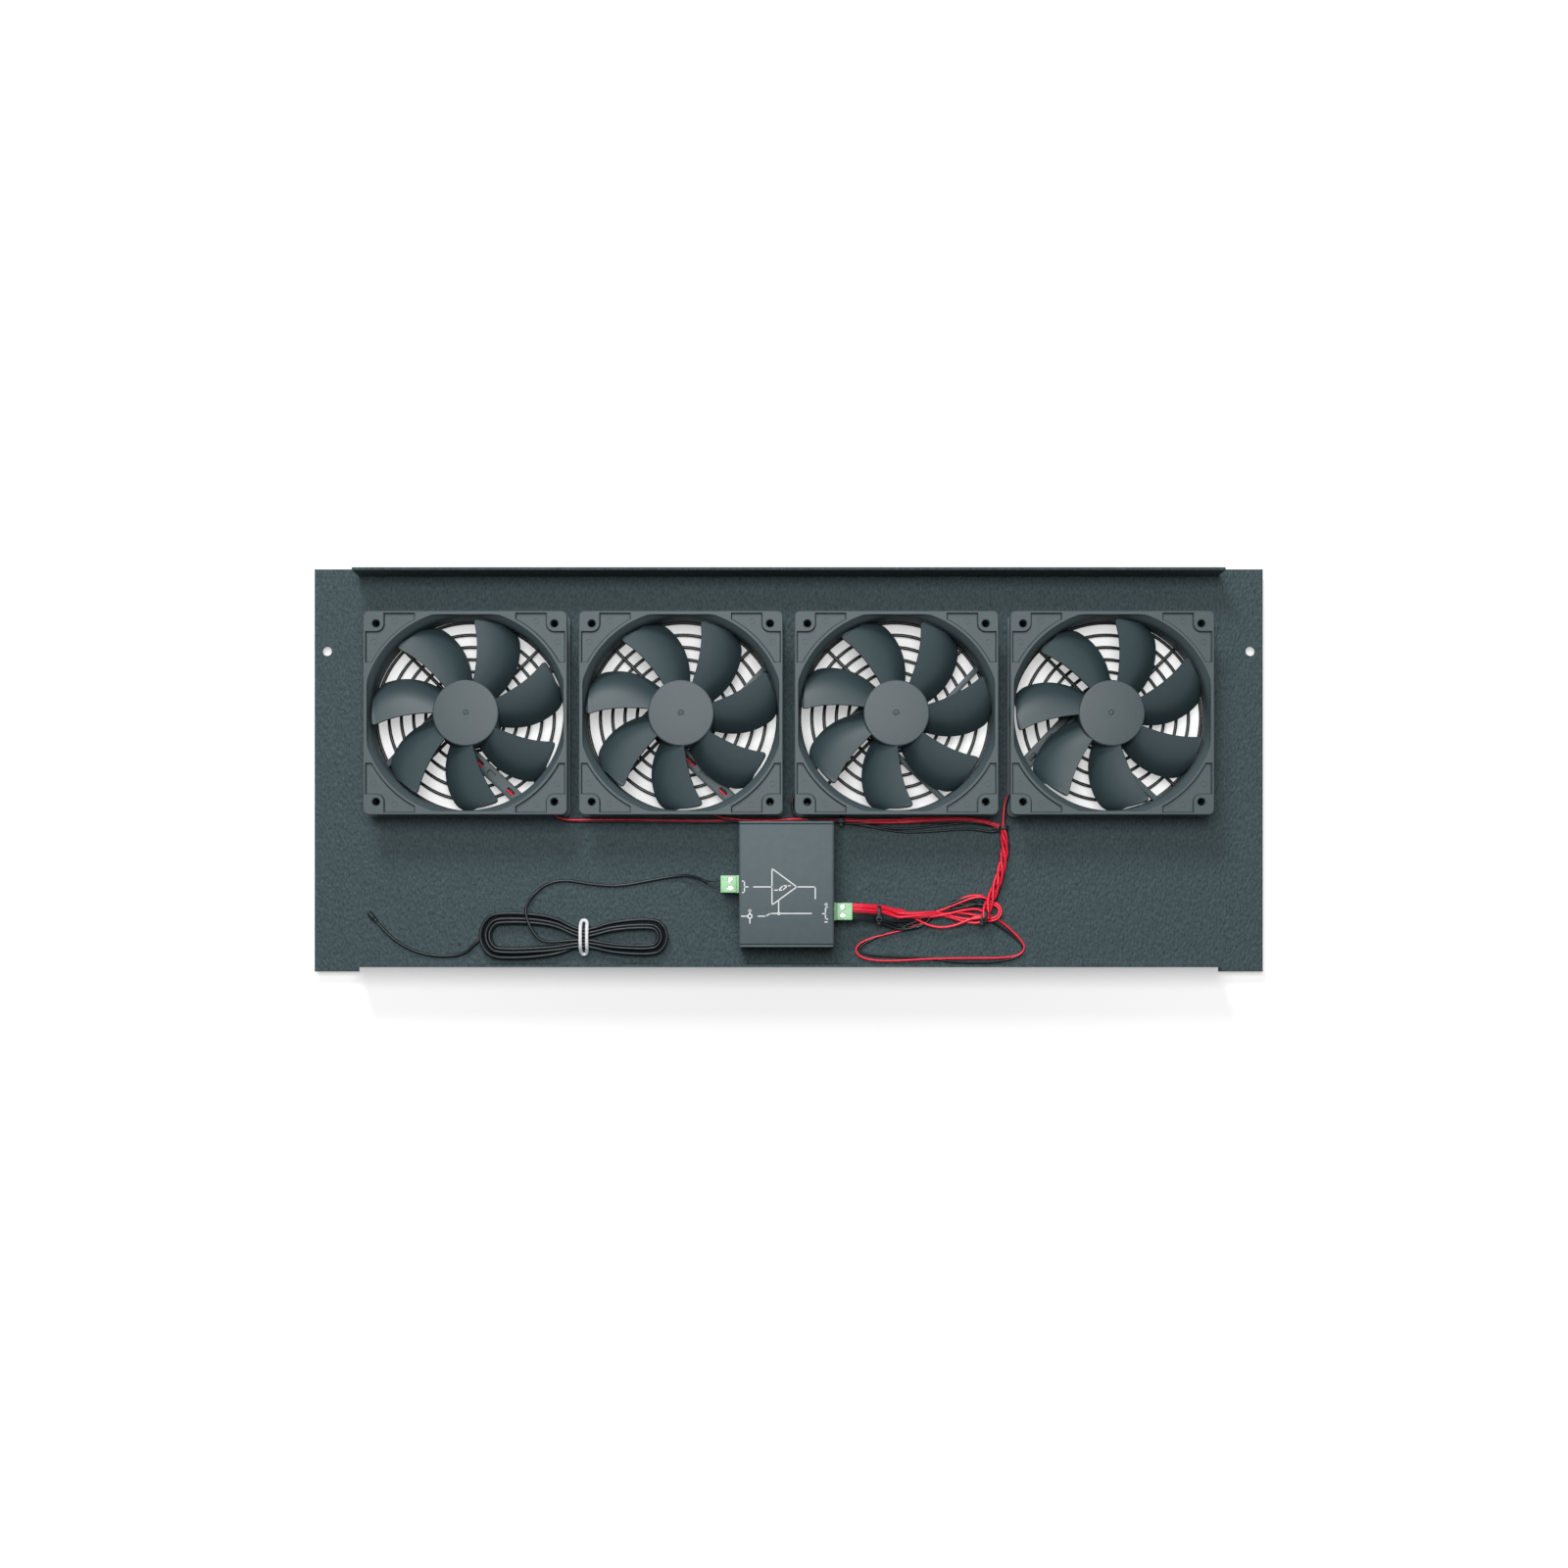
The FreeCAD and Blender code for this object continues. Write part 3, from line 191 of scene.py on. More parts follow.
COMPONENT = Finish("component plastic", (0.03, 0.03, 0.032), 0.45, mottle=0.15)
TERMINAL = Finish("terminal plastic", (0.36, 0.70, 0.38), 0.42, mottle=0.06)
FOAM = Finish("adhesive foam", (0.04, 0.04, 0.042), 0.9, mottle=0.3, grain=0.0002)
INK = Finish("printing ink", (0.86, 0.87, 0.87), 0.6, mottle=0.03)
RED_WIRE = Finish("red insulation", (0.84, 0.012, 0.046), 0.34, mottle=0.08)
BLACK_WIRE = Finish("black insulation", (0.009, 0.014, 0.016), 0.30, specular=0.30, mottle=0.2)
CORD_JACKET = Finish("cord jacket", (0.008, 0.013, 0.015), 0.34, specular=0.34, mottle=0.2)
BLACK_NYLON = Finish("black nylon", (0.010, 0.013, 0.014), 0.38, specular=0.25, mottle=0.15)
WHITE_TIE = Finish("white tie", (0.84, 0.85, 0.86), 0.45, mottle=0.05)


# ---------------------------------------------------------------- modelling


class Form:
    """Mesh under construction, in millimetres, shaped by bmesh operators."""

    def __init__(self) -> None:
        """Start with nothing."""
        self.bm = bmesh.new()

    def _fresh(self, known: set[BMVert]) -> list[BMVert]:
        """Vertices that are not among the known ones."""
        return [vert for vert in self.bm.verts if vert not in known]

    @staticmethod
    def _upright(edge: BMEdge) -> bool:
        """Whether an edge stands upright."""
        return abs((edge.verts[0].co - edge.verts[1].co).normalized().z) > 0.9

    @staticmethod
    def _rim(edge: BMEdge) -> bool:
        """Whether a level edge lies between an end and a side."""
        level = abs((edge.verts[0].co - edge.verts[1].co).normalized().z) < 0.1
        return level and len({round(face.normal.z, 3) for face in edge.link_faces}) > 1

    def _bevel(
        self, verts: Iterable[BMVert], width: float, segments: int = 2,
        chosen: Callable[[BMEdge], bool] = lambda edge: True,
    ) -> None:
        """Round the edges that meet at some vertices, where a radius is given.

        Args:
            verts: The vertices.
            width: Radius of the rounding, or 0.
            segments: Its steps.
            chosen: Whether an edge is one of those.
        """
        edges = {edge for vert in verts for edge in vert.link_edges if chosen(edge)}
        if width:
            bmesh.ops.bevel(
                self.bm, geom=[edge for edge in self.bm.edges if edge in edges], offset=width,
                offset_type="OFFSET", segments=segments, profile=0.5, affect="EDGES", material=-1,
                clamp_overlap=True,
            )

    def box(
        self, size: Point, at: Point, bevel: float = 0.0, turn: float = 0.0, corner: float = 0.0
    ) -> "Form":
        """Add a box.

        Args:
            size: Its three sides.
            at: Its middle.
            bevel: Radius of its edges.
            turn: Turn about its own upright axis, in degrees.
            corner: Radius of its upright edges, where they have one of their own.

        Returns:
            The form.
        """
        known = set(self.bm.verts)
        verts = bmesh.ops.create_cube(self.bm, size=1.0)["verts"]
        spin = Matrix.Rotation(math.radians(turn), 3, "Z")
        bmesh.ops.scale(self.bm, vec=size, verts=verts)
        bmesh.ops.rotate(self.bm, cent=CENTRE, matrix=spin, verts=verts)
        bmesh.ops.translate(self.bm, vec=at, verts=verts)
        if corner:
            self._bevel(verts, corner, segments=6, chosen=self._upright)
            self._bevel(self._fresh(known), bevel, chosen=self._rim)
        else:
            self._bevel(verts, bevel)
        return self

    def rod(
        self, radius: float, start: Point, end: Point, segments: int = 24, tip: float | None = None,
        bevel: float = 0.0,
    ) -> "Form":
        """Add a round bar or a cone between two points.

        Args:
            radius: Its radius at the start.
            start: Middle of its first end.
            end: Middle of its other end.
            segments: Facets round it.
            tip: Its radius at the end, where that differs.
            bevel: Radius of the rims at both ends.

        Returns:
            The form.
        """
        known = set(self.bm.verts)
        line = Vector(end) - Vector(start)
        bmesh.ops.create_cone(
            self.bm, cap_ends=True, cap_tris=False, segments=segments, radius1=radius,
            radius2=radius if tip is None else tip, depth=line.length,
        )
        verts = self._fresh(known)
        turn = line.to_track_quat("Z", "Y").to_matrix()
        bmesh.ops.rotate(self.bm, cent=CENTRE, matrix=turn, verts=verts)
        bmesh.ops.translate(self.bm, vec=(Vector(start) + Vector(end)) / 2, verts=verts)
        self._bevel(verts, bevel, chosen=lambda edge: any(len(f.verts) > 4 for f in edge.link_faces))
        return self

    def lathe(
        self, profile: Sequence[Spot], at: Point = CENTRE, segments: int = 64, closed: bool = False
    ) -> "Form":
        """Add a shape turned about the upright axis.

        Args:
            profile: Radius and height of each corner of its section.
            at: Where the axis stands.
            segments: Facets round it.
            closed: Whether the section's last corner joins its first.

        Returns:
            The form.
        """
        known = set(self.bm.verts)
        verts = [self.bm.verts.new((radius, 0, height)) for radius, height in profile]
        pairs = list(zip(verts, verts[1:])) + ([(verts[-1], verts[0])] if closed else [])
        edges = [self.bm.edges.new(pair) for pair in pairs]
        bmesh.ops.spin(
            self.bm, geom=verts + edges, cent=CENTRE, axis=(0, 0, 1), dvec=CENTRE,
            angle=2 * math.pi, steps=segments, use_merge=True, use_duplicate=False,
        )
        bmesh.ops.remove_doubles(self.bm, verts=self._fresh(known), dist=WELD)
        bmesh.ops.translate(self.bm, vec=at, verts=self._fresh(known))
        return self

    def ring(self, radius: float, wire: float, at: Point, segments: int = 64, facets: int = 8) -> "Form":
        """Add a level ring of round wire.

        Args:
            radius: Radius of the ring.
            wire: Radius of the wire.
            at: Middle of the ring.
            segments: Facets round the ring.
            facets: Facets round the wire.

        Returns:
            The form.
        """
        turns = [step * 2 * math.pi / facets for step in range(facets)]
        section = [(radius + wire * math.cos(turn), wire * math.sin(turn)) for turn in turns]
        return self.lathe(section, at, segments, closed=True)

    def stack(self, rings: Sequence[tuple[Outline, float]], segments: int = 160) -> "Form":
        """Make a closed band through rings that surround the axis.

        Args:
            rings: Outline and height of each ring.
            segments: Points round each ring, closer together towards the corners.

        Returns:
            The form.
        """
        crowding = 0.19
        fresh = set(bmesh.ops.create_circle(self.bm, segments=segments, radius=1.0)["verts"])
        for vert in fresh:
            angle = math.atan2(vert.co.y, vert.co.x)
            angle += crowding * math.sin(4 * angle)
            vert.co = (math.cos(angle), math.sin(angle), 0)
        for number, (outline, height) in enumerate([*rings, rings[0]]):
            if number:
                edges = [edge for edge in self.bm.edges if fresh.issuperset(edge.verts)]
                grown = bmesh.ops.extrude_edge_only(self.bm, edges=edges)["geom"]
                fresh = {part for part in grown if isinstance(part, BMVert)}
            for vert in fresh:
                angle = math.atan2(vert.co.y, vert.co.x)
                radius = outline(angle)
                vert.co = (radius * math.cos(angle), radius * math.sin(angle), height)
        bmesh.ops.remove_doubles(self.bm, verts=self.bm.verts, dist=WELD)
        return self

    def add(self, other: "Form", place: Matrix = Matrix.Identity(4)) -> "Form":
        """Add a copy of another form.

        Args:
            other: The other form.
            place: Where the copy goes, by a turn or a move.

        Returns:
            The form.
        """
        mesh = bpy.data.meshes.new("copy")
        other.bm.to_mesh(mesh)
        mesh.transform(place)
        self.bm.from_mesh(mesh)
        bpy.data.meshes.remove(mesh)
        return self

    def apply(self, other: "Form", way: Way = Way.CUT) -> "Form":
        """Cut with another form, or join it, by an exact boolean.

        Args:
            other: The other form, which stays as it is.
            way: What happens.

        Returns:
            The form.
        """
        items = []
        for form in (self, other):
            bmesh.ops.recalc_face_normals(form.bm, faces=form.bm.faces)
            mesh = bpy.data.meshes.new("work")
            form.bm.to_mesh(mesh)
            items.append(bpy.data.objects.new("work", mesh))
            bpy.context.collection.objects.link(items[-1])
        change = items[0].modifiers.new("work", "BOOLEAN")
        change.operation = way.value
        change.object = items[1]
        change.solver = "EXACT"
        change.use_self = True
        seen = items[0].evaluated_get(bpy.context.evaluated_depsgraph_get())
        result = bpy.data.meshes.new_from_object(seen)
        self.bm.clear()
        self.bm.from_mesh(result)
        for mesh in [item.data for item in items] + [result]:
            bpy.data.meshes.remove(mesh)
        return self

    def mesh(self, finish: Finish, smooth: float = 35.0) -> Mesh:
        """The finished mesh in metres.

        Args:
            finish: Its surface.
            smooth: Edges that bend more than this, in degrees, stay sharp.

        Returns:
            The mesh.
        """
        bmesh.ops.remove_doubles(self.bm, verts=self.bm.verts, dist=WELD)
        bmesh.ops.recalc_face_normals(self.bm, faces=self.bm.faces)
        made = bpy.data.meshes.new("form")
        self.bm.to_mesh(made)
        made.transform(Matrix.Scale(MM, 4))
        made.materials.append(finish.material())
        made.shade_smooth()
        made.set_sharp_from_angle(angle=math.radians(smooth))
        return made


def wire_curve(name: str, radius: float, facets: int, finish: Finish) -> Curve:
    """Curve for round wires, still without a line.

    Args:
        name: Its name.
        radius: Radius of the wires.
        facets: How finely they are rounded.
        finish: Their surface.

    Returns:
        The curve.
    """
    curve = bpy.data.curves.new(name, "CURVE")
    curve.dimensions = "3D"
    curve.bevel_depth = radius * MM
    curve.bevel_resolution = facets
    curve.use_fill_caps = True
    curve.materials.append(finish.material())
    return curve


def add_line(
    curve: Curve, points: Sequence[Point], steps: int, scale: float = MM, radius: float = 1.0,
    closed: bool = False,
) -> None:
    """Add a smooth line to a curve.

    Args:
        curve: The curve.
        points: The points that control the line.
        steps: Steps from one of them to the next.
        scale: The points' unit in the curve's own.
        radius: Share of the curve's own radius.
        closed: Whether the line runs back to its start.
    """
    spline = curve.splines.new("NURBS")
    spline.points.add(len(points) - 1)
    for knot, point in zip(spline.points, points):
        knot.co = (*(part * scale for part in point), 1.0)
        knot.radius = radius
    spline.order_u = 3
    spline.use_endpoint_u = not closed
    spline.use_cyclic_u = closed
    spline.resolution_u = steps


def piece(name: str, shape: ID, slot: str, *stands_for: str, body: str = "root") -> Object:
    """Add a finished piece to the tray.

    Args:
        name: Name of the piece.
        shape: Its mesh or curve, already in place.
        slot: The material slot meant for it; not used.
        stands_for: The CAD nodes that it replaces.
        body: The body that it rides on.

    Returns:
        The piece.
    """
    shape.name = name
    item = bpy.data.objects.new(name, shape)
    bpy.context.collection.objects.link(item)
    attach(item, body)
    if stands_for:
        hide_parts(*stands_for)
    LOG.info("made %s", name)
    return item


def repaint(finish: Finish, *nodes: str) -> None:
    """Give CAD nodes that keep their shape a finish.

    Args:
        finish: The finish.
        nodes: Names of the nodes.
    """
    for node in nodes:
        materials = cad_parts[node].data.materials
        materials.clear()
        materials.append(finish.material())
        LOG.info("painted %s", node)


def fan_place(number: int) -> Point:
    """Where a fan's axis meets the panel's upper face."""
    return ((number - 2.5) * FAN_PITCH, FAN_ROW, PANEL_TOP)


# ---------------------------------------------------------------- fans


@dataclass
class FanFrame:
    """Moulded fan frame about its own axis, with its underside at zero height."""

    half: float = 60.0
    corner: float = 3.2
    thickness: float = 25.0
    flange: float = 4.0
    chamfer: float = 0.35
    throat: float = 57.2
    throat_edge: float = 0.7
    flare: Sequence[Spot] = ((6.0, 0.0), (4.6, 0.35), (3.4, 1.0), (2.2, 1.9), (1.1, 2.9), (0.0, 3.8))
    flat: float = 58.0
    wall: float = 59.0
    hole: float = CORNER_HOLE
    hole_radius: float = 2.15
    hole_flare: float = 0.6
    boss_radius: float = 4.4
    recess_lip: float = 0.25
    recess_depth: float = 1.4
    recess_slope: float = 0.8
    recess_start: float = 29.5
    recess_edge: float = 58.9
    recess_arc: float = 62.4
    marks: Sequence[Spot] = ((-10.6, 1.4), (1.6, -10.9))
    mark_radii: Spot = (1.45, 1.8)
    mark_depth: float = 0.25
    column_inset: float = 3.0
    base: Sequence[Spot] = (
        (0, 0.5), (9, 0.5), (9.3, 0), (19, 0), (19.5, 0.5), (19.5, 3.6), (18.4, 3.6), (18.4, 2), (0, 2),
    )
    strut_start: float = 8.0
    strut_offset: float = -16.0
    strut_angle: float = 46.6
    strut_width: float = 3.4
    strut_height: float = 3.9
    strut_level: float = 2.0
    channel_width: float = 7.8
    slots: Sequence[tuple[float, float, float, float]] = (
        (17.0, 18.0, 4.2, 1.2), (48.5, 6.0, 4.2, 1.4), (33.0, 5.6, 3.7, 0.9),
    )

    def _square(self, half: float) -> Outline:
        """Square with rounded corners.

        Args:
            half: Half its side.

        Returns:
            Its outline.
        """
        inner = half - self.corner

        def radius(angle: float) -> float:
            """How far the outline is from the axis.

            Args:
                angle: The angle, which meets a straight side or a rounded corner.

            Returns:
                The distance.
            """
            big, small = sorted((abs(math.cos(angle)), abs(math.sin(angle))), reverse=True)
            if half / big * small <= inner:
                return half / big
            across = inner * (big + small)
            return across + math.sqrt(max(0.0, across**2 - 2 * inner**2 + self.corner**2))

        return radius

    @staticmethod
    def _round(radius: float, flat: float = math.inf) -> Outline:
        """Circle that is cut by flats on four sides."""
        return lambda angle: min(radius, flat / max(abs(math.cos(angle)), abs(math.sin(angle))))

    def _body(self) -> Form:
        """Duct, two square flanges and the wall between them.

        Returns:
            The form.
        """
        top, low, duct = self.thickness, self.flange, self._round
        side, rim = self._square(self.half), self._square(self.half - self.chamfer)
        rings = [(duct(self.throat + self.throat_edge), 0.0), (duct(self.throat), self.throat_edge)]
        rings += [(duct(self.throat + out, self.flat), top - drop) for drop, out in self.flare]
        rings += [(rim, top), (side, top - self.chamfer), (side, top - low)]
        rings += [(duct(self.wall), top - low), (duct(self.wall), low)]
        return Form().stack([*rings, (side, low), (side, self.chamfer), (rim, 0.0)])

    def _recess(self) -> Form:
        """Cutter for the shallow recess of the upper right corner.

        Returns:
            The form, wider at the top than at its floor.
        """
        start, edge, hole, boss = self.recess_start, self.recess_edge, self.hole, self.boss_radius
        low, through = self.thickness - self.recess_lip, 3.0
        size, middle = edge - start, (edge + start) / 2
        cutter = Form().box((size, size, 2.0), (middle, middle, low + 1.0))
        for x, y, radius, facets in ((0.0, 0.0, self.recess_arc, 128), (hole, hole, boss, 40)):
            cutter.apply(Form().rod(radius, (x, y, low - through), (x, y, low + through), facets))
        for x, y in ((hole - boss, hole), (hole, hole - boss)):
            wide, long = edge + 2 - x, edge + 2 - y
            cutter.apply(Form().box((wide, long, 2 * through), (x + wide / 2, y + long / 2, low)))
        bmesh.ops.inset_region(
            cutter.bm, faces=[face for face in cutter.bm.faces if face.normal.z < -0.9],
            thickness=self.recess_slope, depth=self.recess_depth, use_even_offset=True,
            use_boundary=True,
        )
        return cutter

    def build(self) -> Form:
        """The whole frame.

        Returns:
            The form.
        """
        form, columns, holes, cutters = self._body(), Form(), Form(), Form()
        recess, top, inset = self._recess(), self.thickness, self.column_inset
        floor = top - self.recess_lip - self.recess_depth
        low, high = floor - self.mark_depth, floor + 1
        inner, outer = self.mark_radii
        ring = [(inner, low), (outer, low), (outer, high), (inner, high)]
        for quarter in range(4):
            turn = Matrix.Rotation(quarter * math.pi / 2, 4, "Z")
            x, y, _ = turn @ Vector((self.hole, self.hole, 0))
            columns.rod(self.boss_radius, (x, y, inset), (x, y, top - inset), 40)
            holes.rod(self.hole_radius, (x, y, -1), (x, y, top + 1), 28)
            wide = self.hole_radius + self.hole_flare
            holes.rod(self.hole_radius, (x, y, top - 0.5), (x, y, top + 0.1), 28, tip=wide)
            cutters.add(recess, turn)
            for across, along in self.marks:
                mark = turn @ Vector((self.hole + across, self.hole + along, 0))
                cutters.lathe(ring, tuple(mark), 28, closed=True)
        form.apply(columns, Way.JOIN).apply(cutters).apply(holes)
        return form.add(self._motor_mount())

    def _motor_mount(self) -> Form:
        """Motor base on four struts, one of which carries the leads.

        Returns:
            The form.
        """
        mount, long = Form().lathe(self.base), self.throat - self.strut_start
        spot = (self.strut_start + long / 2, self.strut_offset, self.strut_level)
        for arm in range(3):
            angle = self.strut_angle + 90 * arm
            at = Matrix.Rotation(math.radians(angle), 4, "Z") @ Vector(spot)
            mount.box((long + 0.5, self.strut_width, self.strut_height), tuple(at), 0.5, angle)
        channel = Form().box((long + 0.4, self.channel_width, self.strut_height), spot, 0.5)
        slots = Form()
        for out, run, level, corner in self.slots:
            slots.box((run, 3.0, 4.0), (out, self.strut_offset, level), corner=corner)
        turn = Matrix.Rotation(math.radians(self.strut_angle + 270), 4, "Z")
        return mount.add(channel.apply(slots), turn)


@dataclass
class FanWheel:
    """Seven-blade fan wheel about its own axis, from the underside of its frame."""

    hub_radius: float = 19.5
    hub_top: float = 23.8
    hub_bottom: float = 4.9
    hub_wall: float = 1.2
    hub_roof: float = 1.6
    dimple: Sequence[Spot] = (
        (0.0, 0.15), (0.75, 0.15), (0.8, 0.17), (1.1, 0.38), (1.15, 0.4), (1.6, 0.4), (1.65, 0.38),
        (1.9, 0.22), (2.0, 0.2), (2.15, 0.2),
    )
    hub_edge: Sequence[Spot] = ((0.8, 0.2), (0.7, 0.21), (0.25, 0.4), (0.0, 0.9))
    root: float = 18.4
    tip: float = 56.1
    thickness: float = 1.25
    blades: int = 7
    grid: tuple[int, int] = (22, 16)
    crowding: float = 1.5
    top: float = 22.2
    bottom: float = 5.8
    root_lift: float = 2.2
    dive: float = 0.55
    dive_power: float = 3.5
    tip_corner: float = 3.0
    corner_sweep: float = 1.05
    tip_sweep: float = 3.6
    tip_share: float = 5.1
    leading: Sequence[Spot] = ((19.15, -7.7), (38.0, -5.1), (55.0, 0.0))
    trailing: Sequence[Spot] = ((19.15, -50.7), (38.0, -40.7), (55.0, -26.7))

    @staticmethod
    def _through(points: Sequence[Spot], at: float) -> float:
        """Value of the smooth curve through a few points.

        Args:
            points: Radius of each point, and the value there.
            at: The radius that is asked for.

        Returns:
            The value.
        """
        total = 0.0
        for here, value in points:
            others = [there for there, _ in points if there != here]
            total += value * math.prod((at - there) / (here - there) for there in others)
        return total

    def _blade(self) -> Form:
        """One blade, as a bent grid with a thickness.

        Returns:
            The form.
        """
        form = Form()
        bmesh.ops.create_grid(form.bm, x_segments=self.grid[0], y_segments=self.grid[1], size=0.5)
        for vert in form.bm.verts:
            out, share = vert.co.x + 0.5, vert.co.y + 0.5
            radius = self.tip - (1 - out) ** self.crowding * (self.tip - self.root)
            near_tip = max(0.0, 1 - (self.tip - radius) / self.tip_share)
            trail = self._through(self.trailing, radius) + self.tip_sweep * near_tip**3
            past = max(0.0, radius - self.tip + self.tip_corner)
            rounded = self.tip_corner - math.sqrt(max(0.0, self.tip_corner**2 - past**2))
            lead = self._through(self.leading, radius) - self.corner_sweep * rounded
            angle = math.radians(trail + share * (lead - trail))
            low = self.bottom + self.root_lift * (1 - out)
            back = (1 - self.dive) * (1 - share) + self.dive * (1 - share) ** self.dive_power
            rise = self.top - (self.top - low) * back
            vert.co = (radius * math.cos(angle), radius * math.sin(angle), rise)
        bmesh.ops.recalc_face_normals(form.bm, faces=form.bm.faces)
        bmesh.ops.solidify(form.bm, geom=list(form.bm.faces), thickness=self.thickness)
        return form

    def build(self) -> Form:
        """The hub with all its blades.

        Returns:
            The form.
        """
        hub, top, low = self.hub_radius, self.hub_top, self.hub_bottom
        inside, roof = hub - self.hub_wall, top - self.hub_roof
        profile = [(radius, top - drop) for radius, drop in self.dimple]
        profile += [(hub - inset, top - drop) for inset, drop in self.hub_edge]
        profile += [(hub, low), (inside, low), (inside, roof), (0, roof)]
        form, blade = Form().lathe(profile, segments=96), self._blade()
        for number in range(self.blades):
            form.add(blade, Matrix.Rotation(number * 2 * math.pi / self.blades, 4, "Z"))
        return form


@dataclass
class FanBank:
    """The four fans with their motors."""

    rest_turn: Sequence[float] = (85.2, 78.1, 75.1, 88.4)
    channel_turn: Sequence[float] = (0.0, 0.0, -90.0, -90.0)
    shape: FanFrame = field(default_factory=FanFrame)
    wheel: FanWheel = field(default_factory=FanWheel)

    def build(self) -> None:
        """Place a frame and a wheel for every fan and paint the motor parts."""
        shell = self.shape.build().mesh(FRAME_PLASTIC, 32)
        rotor = self.wheel.build().mesh(WHEEL_PLASTIC, 40)
        for number in FANS:
            spot = Matrix.Translation(Vector(fan_place(number)) * MM)
            for name, mesh, turns, slot, node, body in (
                ("frame", shell, self.channel_turn, "frame_plastic", "fan_frame", "root"),
                ("wheel", rotor, self.rest_turn, "wheel_plastic", "fan_impeller", f"rotor_{number}"),
            ):
                copy = mesh.copy()
                copy.transform(spot @ Matrix.Rotation(math.radians(turns[number - 1]), 4, "Z"))
                piece(f"fan_{number}_{name}", copy, slot, f"{node}_{number}", body=body)
            repaint(FERRITE, f"rotor_magnet_{number}")
            repaint(PLAIN_STEEL, f"rotor_shaft_{number}")
        repaint(PLAIN_STEEL, "stator_cores")
        repaint(BRONZE, "bearing_sleeves")
        repaint(COPPER, "stator_windings")
        repaint(BOARD, "motor_boards")


# ---------------------------------------------------------------- finger guards


@dataclass
class FingerGuards:
    """Wire guards under the fans and the screws that hold them."""

    rings: Sequence[float] = (57.0, 49.64, 42.28, 34.92, 27.56, 20.2, 12.84)
    ring_wire: float = 1.0
    radial_wire: float = 1.05
    level: float = 2.9
    eyelet: float = 3.35
    eyelet_wire: float = 1.0
    screw: Sequence[Spot] = (
        (0, 0), (2.42, 0.1), (3.74, 0.6), (4.4, 1.5), (4.4, 2.9), (2, 2.9), (2, 12.3), (1.4, 12.7),
        (0, 12.7),
    )
    cross: Point = (4.2, 0.9, 2.6)

    def _guard(self) -> Form:
        """One guard about its axis.

        Returns:
            The form.
        """
        form = Form()
        for radius in self.rings:
            form.ring(radius, self.ring_wire, (0, 0, self.level - self.ring_wire), 96)
        far, height = CORNER_HOLE * math.sqrt(2), self.level + self.radial_wire
        for quarter in range(4):
            turn = Matrix.Rotation(math.radians(45 + 90 * quarter), 4, "Z")
            start, end, middle = (
                tuple(turn @ Vector((out, 0, height)))
                for out in (self.rings[-1] - 0.8, far - self.eyelet, far)
            )
            form.rod(self.radial_wire, start, end, 12)
            form.ring(self.eyelet, self.eyelet_wire, middle, 28)
        return form

    def _screw(self) -> Form:
        """Pan-head screw with a cross recess, head down, about its axis.

        Returns:
            The form.
        """
        cross = Form().box(self.cross, (0, 0, 0.2)).box(self.cross, (0, 0, 0.2), turn=90)
        return Form().lathe(self.screw, segments=28).apply(cross)

    def build(self) -> None:
        """Place the guards and all screws."""
        guard, screw, screws = self._guard().mesh(GUARD_COAT, 60), self._screw(), Form()
        for number in FANS:
            x, y, _ = fan_place(number)
            copy = guard.copy()
            copy.transform(Matrix.Translation(Vector((x, y, 0)) * MM))
            piece(f"guard_{number}", copy, "guard_wire", f"finger_guard_{number}")
            for side in (-1, 1):
                for end in (-1, 1):
                    angle = math.radians(37 * number + 23 * side + 11 * end)
                    spot = Matrix.Translation((x + side * CORNER_HOLE, y + end * CORNER_HOLE, 0))
                    screws.add(screw, spot @ Matrix.Rotation(angle, 4, "Z"))
        piece("screws", screws.mesh(BLACK_STEEL, 40), "screw_steel", "guard_screws")


# ---------------------------------------------------------------- thermistor cord


